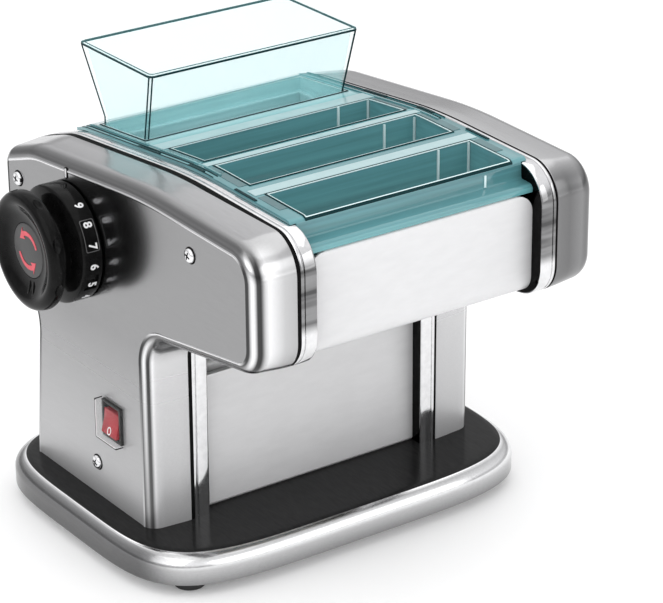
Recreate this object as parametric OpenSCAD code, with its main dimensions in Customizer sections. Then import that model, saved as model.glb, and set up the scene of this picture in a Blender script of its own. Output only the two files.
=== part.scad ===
// Electric pasta machine with a roller head, a power base and a knob for the sheet thickness.
// X runs along the rollers (the knob is on the -X side), -Y is the front, +Z is up, Z = 0 is the table.

/* [Side covers and frames] */
// Distance from the middle to the flat face of a side cover
cover_x = 124.6; // [122:0.2:128]
// Distance from the middle to the open edge of a side cover
open_x = 93.5; // [93:0.1:94]
// Distance from the middle to the inner face of an end frame
frame_x = 82; // [81:0.5:83]
// Thickness of the web of an end frame
web_t = 7; // [6:0.5:7.5]
// Width of the bright rim of an end frame
rim_w = 6; // [4:0.5:8]
// Thickness of the drawn sheet of the side covers
cover_t = 1.2; // [0.8:0.1:1.6]
// How far the rounding draws the flat face in from the open edge
face_in = 10; // [8:0.5:12]

/* [Base] */
// Half width of the base tray
tray_hw = 148; // [145:1:152]
// Front edge of the base tray
tray_y0 = 8; // [4:1:12]
// Back edge of the base tray
tray_y1 = 238; // [234:1:244]
// Height of the underside of the base tray above the table
foot_h = 8; // [6:1:10]
// Height of the top of the base tray above the table
tray_top = 28; // [28:1:28]
// Radius of the rounded top edge of the base tray
tray_r = 10; // [6:1:12]
// Radius of a rubber foot
foot_r = 10.5; // [9:0.5:12]

/* [Rollers] */
// Radius of the smooth sheeting rollers
sheet_r = 14.9; // [14.5:0.1:14.95]
// Distance between the two sheeting rollers' axes with the knob at rest
nip = 30.2; // [30.1:0.05:30.4]
// Height of the sheeting rollers' axes
sheet_z = 196.8; // [196:0.2:198]
// Radius of the cutting rings
ring_r = 11.3; // [11:0.1:11.5]
// Radius of the grooves between the cutting rings
groove_r = 9.3; // [9:0.1:9.4]
// Width of one strand from the narrow cutters
strand_a = 2; // [1.5:0.5:2.5]
// Width of one strand from the medium cutters
strand_b = 4; // [3:0.5:5]
// Width of one strand from the wide cutters
strand_c = 6.5; // [6:0.5:8]

/* [Gears] */
// Module of the gears on the rollers
m_roll = 1.5; // [1.5:0.1:1.5]
// Pressure angle of all gears
press = 25; // [22:1:25]
// Play between meshing teeth
play = 0.22; // [0.15:0.01:0.3]

/* [Knob] */
// Radius of the numbered dial
dial_r = 37.5; // [36:0.5:39]
// Radius of the knob's front disc
disc_r = 38; // [36:0.5:39]
// How far the knob stands out from the cover's flat face
knob_h = 36; // [34:0.5:38]

/* [Hopper and guard] */
// Top of the hopper above the table
hopper_top = 299.2; // [296:0.2:302]
// Wall of the clear plastic parts
clear_t = 1.6; // [1.4:0.1:2]
// Half width of the guard's slots
slot_hw = 74; // [70:1:75]
// Height of the lower edge of the guard's slot walls
skirt_z = 230; // [226:1:236]

/* [Hidden] */
eps = 0.01;
head_y0 = -58.4;
cam_y = 144.2;
adj_y = 145.0;
fix_y = adj_y + nip;
cut_z = 198;
cut_c = 21;
cut_y = [88, 39, -17];
shaft_o = [126.1, 183.0];
shaft_s = [129.0, 139.33];
shaft_m = [131.5, 103.42];
// the last two idlers are smaller, so that they clear the cover's lower edge
idl = [[74, 177.3], [53, 177.3], [20, 180.4], [2, 180.4]];
idl_n = [14, 14, 12, 12];
lay1 = 95; lay2 = 102.5; lay3 = 110; gear_w = 6;
scr = [[124.9, 51], [8.6, 232], [208.7, 216.6]];
rods = [[-38.5, 183.5], [118, 232], [204, 186], [80, 44], [184, 44]];
cap = [105, 44];
feet = [[-114, 37], [114, 37], [-114, 209], [114, 209]];
shift_x = (cover_x + knob_h - tray_hw) / 2;
shift_y = -(head_y0 + tray_y1) / 2;

// ---------- outlines ----------
function unit(v) = v / norm(v);
// arc of k steps that rounds the corner p1 between p0 and p2
function corner(p0, p1, p2, r, k) = r <= 0 ? [p1] :
  let(u = unit(p0 - p1), v = unit(p2 - p1), a = acos(max(-1, min(1, u * v))),
      t = r / tan(a / 2), c = p1 + unit(u + v) * (r / sin(a / 2)),
      s = p1 + u * t - c, e = p1 + v * t - c,
      a0 = atan2(s[1], s[0]), a1 = atan2(e[1], e[0]), d = ((a1 - a0 + 540) % 360) - 180)
  [for (i = [0:k]) c + r * [cos(a0 + d * i / k), sin(a0 + d * i / k)]];
function xy(p) = [p[0], p[1]];
function rounded(P) = let(n = len(P)) [for (i = [0:n - 1])
  each corner(xy(P[(i + n - 1) % n]), xy(P[i]), xy(P[(i + 1) % n]), P[i][2], P[i][3])];
// moves each side in by d times its own weight, and keeps the corner arcs concentric
function inset(P, d) = let(n = len(P)) [for (i = [0:n - 1])
  let(p0 = xy(P[(i + n - 1) % n]), p1 = xy(P[i]), p2 = xy(P[(i + 1) % n]),
      e1 = unit(p1 - p0), e2 = unit(p2 - p1), n1 = [-e1[1], e1[0]], n2 = [-e2[1], e2[0]],
      d1 = d * P[(i + n - 1) % n][4], d2 = d * P[i][4], c = n1 * n2,
      q = abs(1 - c * c) < 1e-5 ? p1 + n1 * d1 : p1 + n1 * ((d1 - c * d2) / (1 - c * c)) + n2 * ((d2 - c * d1) / (1 - c * c)),
      cr = e1[0] * e2[1] - e1[1] * e2[0])
  [q[0], q[1], P[i][2] <= 0 ? 0 : max(1, P[i][2] - (cr > 0 ? d : -d)), P[i][3], P[i][4]]];

// side outline in Y and Z at the open edge: [y, z, corner radius, arc steps, weight of the side that follows]
side = [[61.5, tray_top, 0, 1, 0], [209, tray_top, 0, 1, 1], [199, 126, 26, 3, 1], [231, 176, 22, 4, 1],
        [231, 232, 13, 4, 1], [190, 245.8, 80, 3, 1], [60, 258.6, 420, 3, 1], [head_y0, 256, 24, 6, 1],
        [head_y0, 174.3, 22, 5, 1], [60.5, 156.1, 19, 5, 1]];
side_low = [for (i = [0:len(side) - 1]) i < 2 ? [side[i][0], side[i][1] - 6, 0, 1, side[i][4]] : side[i]];

// cuts the polygon with the point numbers I into triangles, one ear at a time
function turn(a, b, c) = (b[0] - a[0]) * (c[1] - a[1]) - (b[1] - a[1]) * (c[0] - a[0]);
function covers(p, a, b, c) = turn(a, b, p) > -1e-9 && turn(b, c, p) > -1e-9 && turn(c, a, p) > -1e-9;
function is_ear(P, I, k) = let(n = len(I), h = (k + n - 1) % n, l = (k + 1) % n, a = P[I[h]], b = P[I[k]], c = P[I[l]])
  turn(a, b, c) > 1e-6 && len([for (j = [0:n - 1]) if (j != k && j != h && j != l && covers(P[I[j]], a, b, c)) 1]) == 0;
function first_ear(P, I, k) = k >= len(I) ? 0 : is_ear(P, I, k) ? k : first_ear(P, I, k + 1);
function ears(P, I) = len(I) < 4 ? [I] : let(n = len(I), k = first_ear(P, I, 0))
  concat([[I[(k + n - 1) % n], I[k], I[(k + 1) % n]]], ears(P, [for (j = [0:n - 1]) if (j != k) I[j]]));

// closed solid through a list of rings with the same number of points; c1 and c2 are the axes that the rings lie in
module skin(rings, c1 = 0, c2 = 1) {
  n = len(rings[0]); m = len(rings);
  function flat(r) = [for (p = r) [p[c1], p[c2]]];
  lo = ears(flat(rings[0]), [for (j = [0:n - 1]) j]);
  hi = ears(flat(rings[m - 1]), [for (j = [0:n - 1]) j]);
  polyhedron(points = [for (r = rings) each r],
    faces = concat(lo, [for (t = hi) [for (j = [2:-1:0]) (m - 1) * n + t[j]]],
      [for (i = [0:m - 2]) for (j = [0:n - 1]) let(a = i * n + j, b = i * n + (j + 1) % n) [a, b + n, b]],
      [for (i = [0:m - 2]) for (j = [0:n - 1]) let(a = i * n + j, b = i * n + (j + 1) % n) [a, a + n, b + n]]),
    convexity = 8);
}
function side_ring(P, x, d) = [for (p = rounded(inset(P, d))) [x, p[0], p[1]]];
// puts a flat outline drawn in Y and Z between two X planes
module slab(x0, x1) { translate([x0, 0, 0]) rotate([90, 0, 90]) linear_extrude(x1 - x0) children(); }
module rod(x0, x1, yz, r, fn = 48) { translate([x0, yz[0], yz[1]]) rotate([0, 90, 0]) cylinder(h = x1 - x0, r = r, $fn = fn); }
module blk(a, b) { translate(a) cube(b - a); }
// strip of sheet metal along a bent line
module band(L, t) {
  n = len(L);
  nor = [for (i = [0:n - 1]) let(a = L[max(0, i - 1)], b = L[min(n - 1, i + 1)], e1 = i == 0 ? unit(L[1] - L[0]) : unit(L[i] - a),
         e2 = i == n - 1 ? e1 : unit(b - L[i]), n1 = [-e1[1], e1[0]], n2 = [-e2[1], e2[0]]) (n1 + n2) / (1 + n1 * n2)];
  polygon(concat([for (i = [0:n - 1]) L[i]], [for (i = [n - 1:-1:0]) L[i] + nor[i] * t]));
}
module place() { translate([shift_x, shift_y, 0]) children(); }
module left() { mirror([1, 0, 0]) children(); }

// ---------- gears ----------
function inv(a) = tan(a) * 180 / PI - a;
function ang(N, m, r) = let(rp = N * m / 2, rb = rp * cos(press))
  90 / N - (play / 2 / rp) * 90 / PI + inv(press) - (r > rb ? inv(acos(rb / r)) : 0);
module gear2d(N, m) {
  rp = N * m / 2; rb = rp * cos(press); ra = rp + 0.8 * m; rf = rp - 1.05 * m;
  q = max(rb, rf + 0.05);
  R = [rf, q, (q + ra) / 2 - 0.12 * m, (q + 2 * ra) / 3 + 0.05 * m, ra];
  A = [ang(N, m, q) * (rb > rf ? 0.92 : 1.04), ang(N, m, q), ang(N, m, R[2]), ang(N, m, R[3]), ang(N, m, ra)];
  polygon([for (i = [0:N - 1]) let(c = 360 * i / N)
    each concat([for (j = [0:4]) R[j] * [cos(c - A[j]), sin(c - A[j])]], [for (j = [4:-1:0]) R[j] * [cos(c + A[j]), sin(c + A[j])]])]);
}
module gear(x, w, yz, N, m, phase, bore) {
  difference() {
    translate([x, yz[0], yz[1]]) rotate([90, 0, 90]) linear_extrude(w) rotate(phase) gear2d(N, m);
    rod(x - 1, x + w + 1, yz, bore);
  }
}
function dirn(a, b) = atan2(b[1] - a[1], b[0] - a[0]);
function mate(a, Na, tha, b, Nb) = let(f = dirn(a, b)) f + 180 + (180 - Na * (tha - f)) / Nb;

cr = [for (y = cut_y) [y + cut_c / 2, cut_z]];
cf = [for (y = cut_y) [y - cut_c / 2, cut_z]];
fixp = [fix_y, sheet_z];
adjp = [adj_y, sheet_z];
th_r1 = mate(shaft_o, 28, 0, cr[0], 14);
th_f1 = mate(cr[0], 14, th_r1, cf[0], 14);
th_i1 = mate(cf[0], 14, th_f1, idl[0], 14);
th_i2 = mate(idl[0], 14, th_i1, idl[1], 14);
th_r2 = mate(idl[1], 14, th_i2, cr[1], 14);
th_f2 = mate(cr[1], 14, th_r2, cf[1], 14);
th_i3 = mate(cf[1], 14, th_f2, idl[2], 12);
th_i4 = mate(idl[2], 12, th_i3, idl[3], 12);
th_r3 = mate(idl[3], 12, th_i4, cr[2], 14);
th_f3 = mate(cr[2], 14, th_r3, cf[2], 14);
th_fx = mate(shaft_o, 28, 0, fixp, 40);
th_ad = mate(fixp, 20, 0, adjp, 20);
th_p = mate(shaft_o, 56, 0, shaft_s, 14);
th_m = mate(shaft_s, 60, 0, shaft_m, 12);

// ---------- base ----------
function tray_ring(z, d, n = 72) = let(a = tray_hw - d, b = (tray_y1 - tray_y0) / 2 - d, cy = (tray_y0 + tray_y1) / 2, e = 4.6)
  [for (i = [0:n - 1]) let(t = 360 * i / n, c = cos(t), s = sin(t))
    [a * sign(c) * pow(abs(c), 2 / e), cy + b * sign(s) * pow(abs(s), 2 / e), z]];
module tray_body(d, z0, z1, r) {
  skin(concat([tray_ring(z0, d)], [for (i = [0:4]) tray_ring(z1 - r + r * sin(i * 22.5), d + r - r * cos(i * 22.5))]));
}
module base_tray() color([0.72, 0.72, 0.73]) place() difference() {
  tray_body(0, foot_h, tray_top, tray_r);
  tray_body(1.5, foot_h - 2, tray_top - 1.5, tray_r - 1.5);
  for (s = [-1, 1]) for (y = [78, 184]) translate([s * 86.5, y, tray_top - 4]) cylinder(h = 8, r = 2.6, $fn = 32);
}
module base_plate() color([0.45, 0.45, 0.46]) place() difference() {
  union() { skin([tray_ring(foot_h + 1, 2.2), tray_ring(foot_h + 3, 2.2)]);
    for (x = [-60, 60]) for (y = [60, 186]) translate([x, y, foot_h + 2]) cylinder(h = tray_top - 1.5 - foot_h - 2, r = 5, $fn = 32); }
  for (f = feet) translate([f[0], f[1], 0]) cylinder(h = 30, r = 2.6, $fn = 32);
  for (i = [-3:3]) blk([-60 + i * 14 + 20, 90, foot_h], [-54 + i * 14 + 20, 130, foot_h + 5]);
}
module rubber_feet() color([0.06, 0.06, 0.06]) place() for (f = feet) translate([f[0], f[1], 0]) difference() {
  union() { cylinder(h = foot_h - 2, r = foot_r - 1, $fn = 48); translate([0, 0, 1.2]) cylinder(h = foot_h - 0.2, r = foot_r, $fn = 48); }
  translate([0, 0, -1]) cylinder(h = 4.5, r = 5, $fn = 32);
  cylinder(h = 30, r = 2.55, $fn = 32);
}
module foot_screws() color([0.75, 0.75, 0.76]) place() for (f = feet) translate([f[0], f[1], 0]) {
  difference() { translate([0, 0, 1.3]) cylinder(h = 2.2, r = 4.2, $fn = 32);
    for (a = [0, 90]) rotate(a) translate([-2.6, -0.5, 1]) cube([5.2, 1, 1.3]); }
  translate([0, 0, 3.4]) cylinder(h = 13, r = 2.4, $fn = 32);
  difference() { translate([0, 0, 11.05]) cylinder(h = 3.5, r = 4.4, $fn = 6); cylinder(h = 30, r = 2.39, $fn = 32); }
}
module frame_screws() color([0.75, 0.75, 0.76]) place() for (s = [-1, 1]) for (y = [78, 184]) translate([s * 86.5, y, 0]) {
  translate([0, 0, tray_top - 3.9]) cylinder(h = 2.35, r = 4.4, $fn = 6);
  translate([0, 0, tray_top - 1.6]) cylinder(h = 14, r = 2.3, $fn = 32);
}

// ---------- end frames, rods and panels ----------
module end_frame(lft) {
  difference() {
    slab(frame_x, open_x - 0.1) polygon(rounded(side));
    // pocket on the gear side
    slab(frame_x + web_t, open_x + 2) polygon(rounded(inset(side_low, rim_w)));
    // openings for the sheeting rollers
    rod(frame_x - 2, open_x, fixp, 9, 64);
    difference() {
      blk([frame_x - 2, adj_y - 13.1, sheet_z - 12.1], [open_x, adj_y + 10.4, sheet_z + 12.1]);
      // on the gear side the wall round the output shaft's bush stays whole
      if (!lft) rod(frame_x - 3, open_x + 1, shaft_o, 8.4, 64);
    }
    for (p = concat(cr, cf)) rod(frame_x - 2, open_x, p, 6.5);
    for (p = rods) rod(frame_x - 2, open_x, p, 3.05);
    for (p = scr) rod(frame_x - 2, open_x, p, 3.05);
    for (y = [78, 184]) translate([86.5, y, tray_top - 5]) cylinder(h = 20, r = 2.35, $fn = 32);
    if (lft) {
      for (z = [sheet_z - 26, sheet_z + 26]) rod(frame_x - 2, open_x, [cam_y, z], 2.55);
      rod(frame_x - 2, open_x, [110, 120], 7);
    } else {
      rod(frame_x - 2, open_x, shaft_o, 7.02);
      rod(frame_x - 2, open_x, shaft_s, 7.02);
      rod(frame_x - 2, open_x, shaft_m, 9);
      for (p = idl) rod(frame_x - 2, open_x, p, 3.0);
      for (p = bridge_feet) rod(frame_x - 2, open_x, p, 2.55);
    }
    // light holes in the lower post, on both sides of the cover's standoff
    slab(frame_x - 2, open_x) polygon(rounded([[92, 44, 5, 3], [113, 44, 5, 3], [113, 62, 5, 3], [92, 62, 5, 3]]));
    slab(frame_x - 2, open_x) polygon(rounded([[137, 44, 5, 3], [166, 44, 5, 3], [163, 62, 5, 3], [137, 62, 5, 3]]));
  }
}
bridge_feet = [[86, 134], [171, 128], [148, 229]];
module left_end_frame() color([0.86, 0.87, 0.88]) place() left() end_frame(true);
module right_end_frame() color([0.86, 0.87, 0.88]) place() end_frame(false);
module tie_rods() color([0.7, 0.7, 0.72]) place() for (p = rods) { rod(-frame_x, frame_x, p, 4.5); rod(-frame_x - web_t - 4.4, frame_x + web_t + 4.4, p, 3); }
module tie_rod_nuts() color([0.62, 0.62, 0.64]) place() for (p = rods) for (s = [0, 1]) mirror([s, 0, 0]) difference() {
  rod(frame_x + web_t, frame_x + web_t + 3.6, p, 5.4, 6); rod(frame_x, frame_x + 30, p, 3.0);
}
module front_panel() color([0.93, 0.93, 0.94]) place() slab(-frame_x + 0.1, frame_x - 0.1)
  band([[-31.8, 173], [-40, 174.8], [-45.6, 178], [-48.3, 182.5], [-49, 188], [-49, 238.6], [-48.4, 240.1], [-47, 240.7], [-42.6, 240.7]], -1.2);
module rear_panel() color([0.8, 0.8, 0.81]) place() difference() {
  slab(-frame_x + 0.1, frame_x - 0.1)
    band([[206.6, tray_top], [197.6, 118], [198.2, 126], [202, 134], [224, 166], [226.8, 174], [227, 226], [224.6, 231.4], [219, 234.4], [202, 239.4]], 1.2);
  translate([60, 190, 60]) rotate([-90, 0, 0]) cylinder(h = 30, r = 8.05, $fn = 48);
  for (i = [0:7]) blk([-66 + i * 9, 190, 92], [-61.5 + i * 9, 215, 112]);
  // the lower edge stands flat on the tray
  blk([-frame_x, 190, tray_top - 5], [frame_x, 220, tray_top]);
}
module motor_panel() color([0.88, 0.88, 0.89]) place() slab(-frame_x + 0.1, frame_x - 0.1)
  band([[72, tray_top], [70, tray_top + 2], [70, 116], [67.4, 119.6], [62.5, 121.6]], -1.2);
module delivery_chute() color([0.85, 0.85, 0.86]) place()
  slab(-frame_x + 0.1, frame_x - 0.1) band([[71.6, 116], [71.6, 124.4], [74, 127], [185, 171]], -1.5);
module cord_gland() color([0.08, 0.08, 0.08]) place() translate([60, 0, 60]) rotate([-90, 0, 0]) difference() {
  union() { translate([0, 0, 198.2]) cylinder(h = 16, r = 8, $fn = 48); translate([0, 0, 205.6]) cylinder(h = 3.5, r = 10.5, $fn = 48);
    translate([0, 0, 196.2]) cylinder(h = 4.6, r = 10.5, $fn = 6); translate([0, 0, 194]) cylinder(h = 5, r = 8, $fn = 48); }
  translate([0, 0, 180]) cylinder(h = 50, r = 3.6, $fn = 48);
}

// ---------- side covers ----------
module cover_shell() {
  r = 10.5; dr = 1.5;
  difference() {
    skin(concat([side_ring(side, open_x, 0)], [for (i = [0:3]) let(a = i * 30)
      side_ring(side, cover_x - r + r * sin(a), dr + (face_in - dr) * (1 - cos(a)))]), 1, 2);
    skin(concat([side_ring(side_low, open_x - 1, cover_t)], [for (i = [0:2]) let(a = i * 45, q = r - cover_t)
      side_ring(side_low, cover_x - cover_t - q + q * sin(a), cover_t + dr + (face_in - dr) * (1 - cos(a)))]), 1, 2);
  }
}
module left_side_cover() color([0.74, 0.74, 0.75]) place() left() difference() {
  cover_shell();
  for (p = scr) rod(cover_x - 5, cover_x + 5, p, 2.3, 32);
  rod(cover_x - 5, cover_x + 5, [cam_y, sheet_z], 12);
  blk([cover_x - 5, sw[0] - 10, sw[1] - 11.8], [cover_x + 5, sw[0] + 10, sw[1] + 11.8]);
}
module right_side_cover() color([0.74, 0.74, 0.75]) place() difference() {
  cover_shell();
  for (p = scr) rod(cover_x - 5, cover_x + 5, p, 2.3, 32);
}
module cover_standoffs() color([0.66, 0.66, 0.68]) place() for (s = [0, 1]) mirror([s, 0, 0]) for (p = scr) difference() {
  union() { rod(frame_x + web_t, cover_x - cover_t, p, 5); rod(frame_x + 1, frame_x + web_t + 1, p, 3); }
  rod(cover_x - 16, cover_x + 5, p, 2.0, 32);
}
module pan_screw(p) {
  difference() {
    union() { rod(cover_x, cover_x + 1.2, p, 4.5); rod(cover_x + 1.2, cover_x + 1.9, p, 4.1); rod(cover_x + 1.9, cover_x + 2.4, p, 3.2); }
    for (a = [20, 110]) translate([cover_x + 1, p[0], p[1]]) rotate([a, 0, 0]) translate([0, -2.6, -0.5]) cube([3, 5.2, 1]);
  }
  rod(cover_x - 12, cover_x + 0.1, p, 1.95, 32);
}
module left_cover_screws() color([0.85, 0.85, 0.87]) place() left() for (p = scr) pan_screw(p);
module right_cover_screws() color([0.85, 0.85, 0.87]) place() for (p = scr) pan_screw(p);

// ---------- switch ----------
sw = [103, 88];
module switch_housing() color([0.05, 0.05, 0.05]) place() left() difference() {
  union() { blk([cover_x - 20, sw[0] - 9.9, sw[1] - 11.7], [cover_x + 0.1, sw[0] + 9.9, sw[1] + 11.7]);
    blk([cover_x, sw[0] - 10.9, sw[1] - 12.5], [cover_x + 2, sw[0] + 10.9, sw[1] + 12.5]); }
  blk([cover_x - 15, sw[0] - 8.7, sw[1] - 10.8], [cover_x + 3, sw[0] + 8.7, sw[1] + 10.8]);
  translate([cover_x - 3, sw[0] - 9.4, sw[1]]) rotate([-90, 0, 0]) cylinder(h = 18.8, r = 1.55, $fn = 32);
}
module switch_rocker() color([0.75, 0.1, 0.08]) place() left() union() {
  translate([cover_x - 3, sw[0] - 9.3, sw[1]]) rotate([-90, 0, 0]) cylinder(h = 18.6, r = 1.5, $fn = 32);
  translate([0, sw[0] + 8.5, 0]) rotate([90, 0, 0]) linear_extrude(17)
    polygon([[cover_x - 7.6, sw[1] - 8.5], [cover_x + 4.1, sw[1] - 8.9], [cover_x + 4.5, sw[1] - 8.3], [cover_x + 2.4, sw[1]], [cover_x + 1.65, sw[1] + 8.7], [cover_x + 1.2, sw[1] + 8.9], [cover_x - 7.6, sw[1] + 8.5]]);
}
module switch_boot() color([0.9, 0.95, 0.95, 0.4]) place() left() difference() {
  union() { blk([cover_x, sw[0] - 14.2, sw[1] - 14.9], [cover_x + 1.2, sw[0] + 14.2, sw[1] + 14.9]);
    blk([cover_x, sw[0] - 12.5, sw[1] - 14], [cover_x + 7.4, sw[0] + 12.5, sw[1] + 14]); }
  blk([cover_x - 1, sw[0] - 11.4, sw[1] - 13], [cover_x + 6.2, sw[0] + 11.4, sw[1] + 13]);
}

// ---------- guard and hopper ----------
guard_top = [[-49, 241.2], [-49, 243], [-48.3, 244.9], [-46.6, 245.8], [-39, 246.5], [-38.2, 247.3], [-37.9, 254.8], [-36.2, 257.6], [-32.4, 258.8], [60, 260.6], [134, 253.4], [190, 247.9], [200, 244.9]];
module guard_slot(y0, y1, zl, hw = slot_hw) {
  z1 = 262;
  difference() {
    intersection() {
      blk([-hw - clear_t, y0 - clear_t, zl], [hw + clear_t, y1 + clear_t, z1]);
      slab(-90, 90) polygon(concat([[-49, 200]], guard_top, [[200, 200]]));
    }
    blk([-hw, y0, zl - 2], [hw, y1, z1 + 5]);
  }
}
slots = [[70, 107, 0], [21, 58, 0], [-36, 3, 0]];
module safety_guard() color([0.2, 0.62, 0.66, 0.5]) place() {
  difference() {
    slab(-86, 86) band(guard_top, -2);
    for (s = slots) blk([-slot_hw, s[0], 225], [slot_hw, s[1], 270]);
    blk([-75.4, 134, 225], [75.4, 186, 270]);
    // the front skirt fits between the end frames
    for (s = [0, 1]) mirror([s, 0, 0]) blk([frame_x - 0.3, -60, 220], [100, -23, 256.7]);
  }
  for (s = slots) guard_slot(s[0], s[1], skirt_z);
  guard_slot(134, 186, 238, 75.4);
  // ledge that the hopper stands on
  difference() {
    blk([-75.5, 133.9, 238], [75.5, 186.1, 239.6]);
    blk([-73.4, 136, 237], [73.4, 184, 241]);
  }
}
module frustum(x0, y0, y1, z0, x1, y2, y3, z1) {
  skin([[[-x0, y0, z0], [x0, y0, z0], [x0, y1, z0], [-x0, y1, z0]], [[-x1, y2, z1], [x1, y2, z1], [x1, y3, z1], [-x1, y3, z1]]]);
}
module dough_hopper() color([0.75, 0.93, 0.95, 0.4]) place() difference() {
  union() {
    frustum(75, 134.4, 185.6, 254.4, 77.4, 123.4, 206.4, hopper_top - 0.1);
    blk([-77.9, 122.8, hopper_top - 1.6], [77.9, 207, hopper_top]);
    blk([-75, 134.4, 239.65], [75, 185.6, 255]);
  }
  frustum(75 - clear_t, 134.4 + clear_t, 185.6 - clear_t, 254.4, 77.4 - clear_t, 123.4 + clear_t, 206.4 - clear_t, hopper_top + 1);
  blk([-75 + clear_t, 134.4 + clear_t, 230], [75 - clear_t, 185.6 - clear_t, 255]);
}

// ---------- sheeting rollers ----------
module fixed_roller() color([0.8, 0.8, 0.82]) place() {
  rod(-frame_x + 0.5, frame_x - 0.5, fixp, sheet_r, 96);
  rod(-frame_x - web_t - 2, lay2 + gear_w + 1, fixp, 6);
}
module adjusting_roller() color([0.8, 0.8, 0.82]) place() {
  rod(-frame_x + 0.5, frame_x - 0.5, adjp, sheet_r, 96);
  rod(-frame_x - web_t - 1.4, lay1 + gear_w + 0.6, adjp, 6);
}
module roller_bushes() color([0.72, 0.55, 0.25]) place() {
  for (s = [0, 1]) mirror([s, 0, 0]) difference() {
    union() { rod(frame_x, frame_x + web_t, fixp, 8.98, 64); rod(frame_x + web_t, frame_x + web_t + 1.6, fixp, 10.5, 64); }
    rod(frame_x - 1, open_x, fixp, 6.05, 64);
  }
  for (p = [shaft_o, shaft_s]) difference() {
    union() { rod(frame_x, frame_x + web_t, p, 7, 64); rod(frame_x + web_t, frame_x + web_t + 1.6, p, 8.5, 64); }
    rod(frame_x - 1, open_x, p, 4.05, 64);
  }
}
module bearing_blocks() color([0.6, 0.6, 0.62]) place() for (s = [0, 1]) mirror([s, 0, 0]) {
  difference() {
    union() {
      blk([frame_x + 0.2, adj_y - 10, sheet_z - 12], [frame_x + web_t + 0.1, adj_y + 10, sheet_z + 12]);
      blk([frame_x + web_t + 0.1, adj_y - 12, sheet_z - 14.5], [frame_x + web_t + 2.1, adj_y + 13, sheet_z + 14.5]);
      // lug that rides on the adjuster's cam
      if (s == 1) { blk([frame_x + web_t + 0.1, adj_y + 10, sheet_z - 7], [frame_x + web_t + 2.1, cam_y + 18, sheet_z + 7]);
        blk([frame_x + web_t + 2, cam_y + 14.05, sheet_z - 7], [frame_x + web_t + 8, cam_y + 18, sheet_z + 7]); }
    }
    rod(frame_x - 1, open_x, adjp, 6.05, 64);
    // clear of the output shaft's bush over the whole travel
    if (s == 0) rod(frame_x - 1, open_x, shaft_o + [2.7, 0], 9.2, 64);
  }
}

// ---------- cutters ----------
module cutter_roll(p, w, odd) {
  L = 148; n = floor(L / w);
  difference() {
    union() {
      translate([0, p[0], p[1]]) rotate([0, 90, 0]) rotate_extrude($fn = 96) {
        translate([0, -frame_x + 0.5]) square([groove_r, 2 * frame_x - 1]);
        for (i = [0:n - 1]) if (i % 2 == odd) translate([0, -L / 2 + i * w + 0.15]) square([ring_r, w - 0.3]);
      }
      rod(-frame_x - web_t - 1.5, lay1 + gear_w + 0.5, p, 4);
    }
  }
}
// a gear fixed on the end of its cutter
module cutter_gear(p, th) { gear(lay1, gear_w, p, 14, m_roll, th, 3.98); }
module narrow_cutter_rear() color([0.78, 0.78, 0.8]) place() { cutter_roll(cr[0], strand_a, 0); cutter_gear(cr[0], th_r1); gear2(cr[0], th_r1); }
module narrow_cutter_front() color([0.78, 0.78, 0.8]) place() { cutter_roll(cf[0], strand_a, 1); cutter_gear(cf[0], th_f1); }
module medium_cutter_rear() color([0.78, 0.78, 0.8]) place() { cutter_roll(cr[1], strand_b, 0); cutter_gear(cr[1], th_r2); }
module medium_cutter_front() color([0.78, 0.78, 0.8]) place() { cutter_roll(cf[1], strand_b, 1); cutter_gear(cf[1], th_f2); }
module wide_cutter_rear() color([0.78, 0.78, 0.8]) place() { cutter_roll(cr[2], strand_c, 0); cutter_gear(cr[2], th_r3); }
module wide_cutter_front() color([0.78, 0.78, 0.8]) place() { cutter_roll(cf[2], strand_c, 1); cutter_gear(cf[2], th_f3); }
// second row of teeth on the first cutter, driven by the output gear
module gear2(p, th) { gear(lay1 + gear_w - eps, lay2 + gear_w - lay1 - gear_w + eps, p, 14, m_roll, th, 2.5); }
module cutter_bushes() color([0.72, 0.55, 0.25]) place() for (s = [0, 1]) mirror([s, 0, 0]) for (p = concat(cr, cf)) difference() {
  union() { rod(frame_x, frame_x + web_t, p, 6.48); rod(frame_x + web_t, frame_x + web_t + 1.2, p, 8); }
  rod(frame_x - 1, open_x, p, 4.05);
}
module cutter_scrapers() color([0.9, 0.9, 0.88]) place() for (y = cut_y) for (s = [-1, 1])
  slab(-frame_x + 0.2, frame_x - 0.2) polygon([[y + s * 8.2, 184.8], [y + s * 9.6, 184.8], [y + s * 13, 178], [y + s * 13, 170], [y + s * 11.4, 170], [y + s * 11.4, 177.4]]);

// ---------- gear train ----------
module idler_pins() color([0.66, 0.66, 0.68]) place() for (p = idl) { rod(frame_x, lay1 + gear_w + 1.2, p, 2.98); rod(frame_x + web_t, lay1 - 1, p, 4.4); rod(lay1 + gear_w + 0.4, lay1 + gear_w + 1.4, p, 4.6); }
module idler(i, th) { gear(lay1, gear_w, idl[i], idl_n[i], m_roll, th, 3.05); }
module idler_gear_1() color([0.9, 0.88, 0.8]) place() idler(0, th_i1);
module idler_gear_2() color([0.9, 0.88, 0.8]) place() idler(1, th_i2);
module idler_gear_3() color([0.9, 0.88, 0.8]) place() idler(2, th_i3);
module idler_gear_4() color([0.9, 0.88, 0.8]) place() idler(3, th_i4);
module output_gears() color([0.72, 0.72, 0.74]) place() {
  gear(lay2, gear_w, shaft_o, 28, m_roll, 0, 3.9);
  gear(lay3, gear_w, shaft_o, 56, 1.25, 0, 3.9);
  rod(frame_x + 0.5, 121, shaft_o, 4, 64);
  difference() { rod(lay2 + gear_w - eps, lay3 + eps, shaft_o, 8); rod(lay2, lay3 + 5, shaft_o, 3.9); }
}
module reduction_gears() color([0.9, 0.88, 0.8]) place() {
  gear(lay1, gear_w, shaft_s, 60, 1, 0, 3.9);
  gear(lay1 + gear_w - eps, lay3 + gear_w - lay1 - gear_w, shaft_s, 14, 1.25, th_p, 3.9);
  rod(frame_x + 0.5, 121, shaft_s, 4, 64);
}
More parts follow.
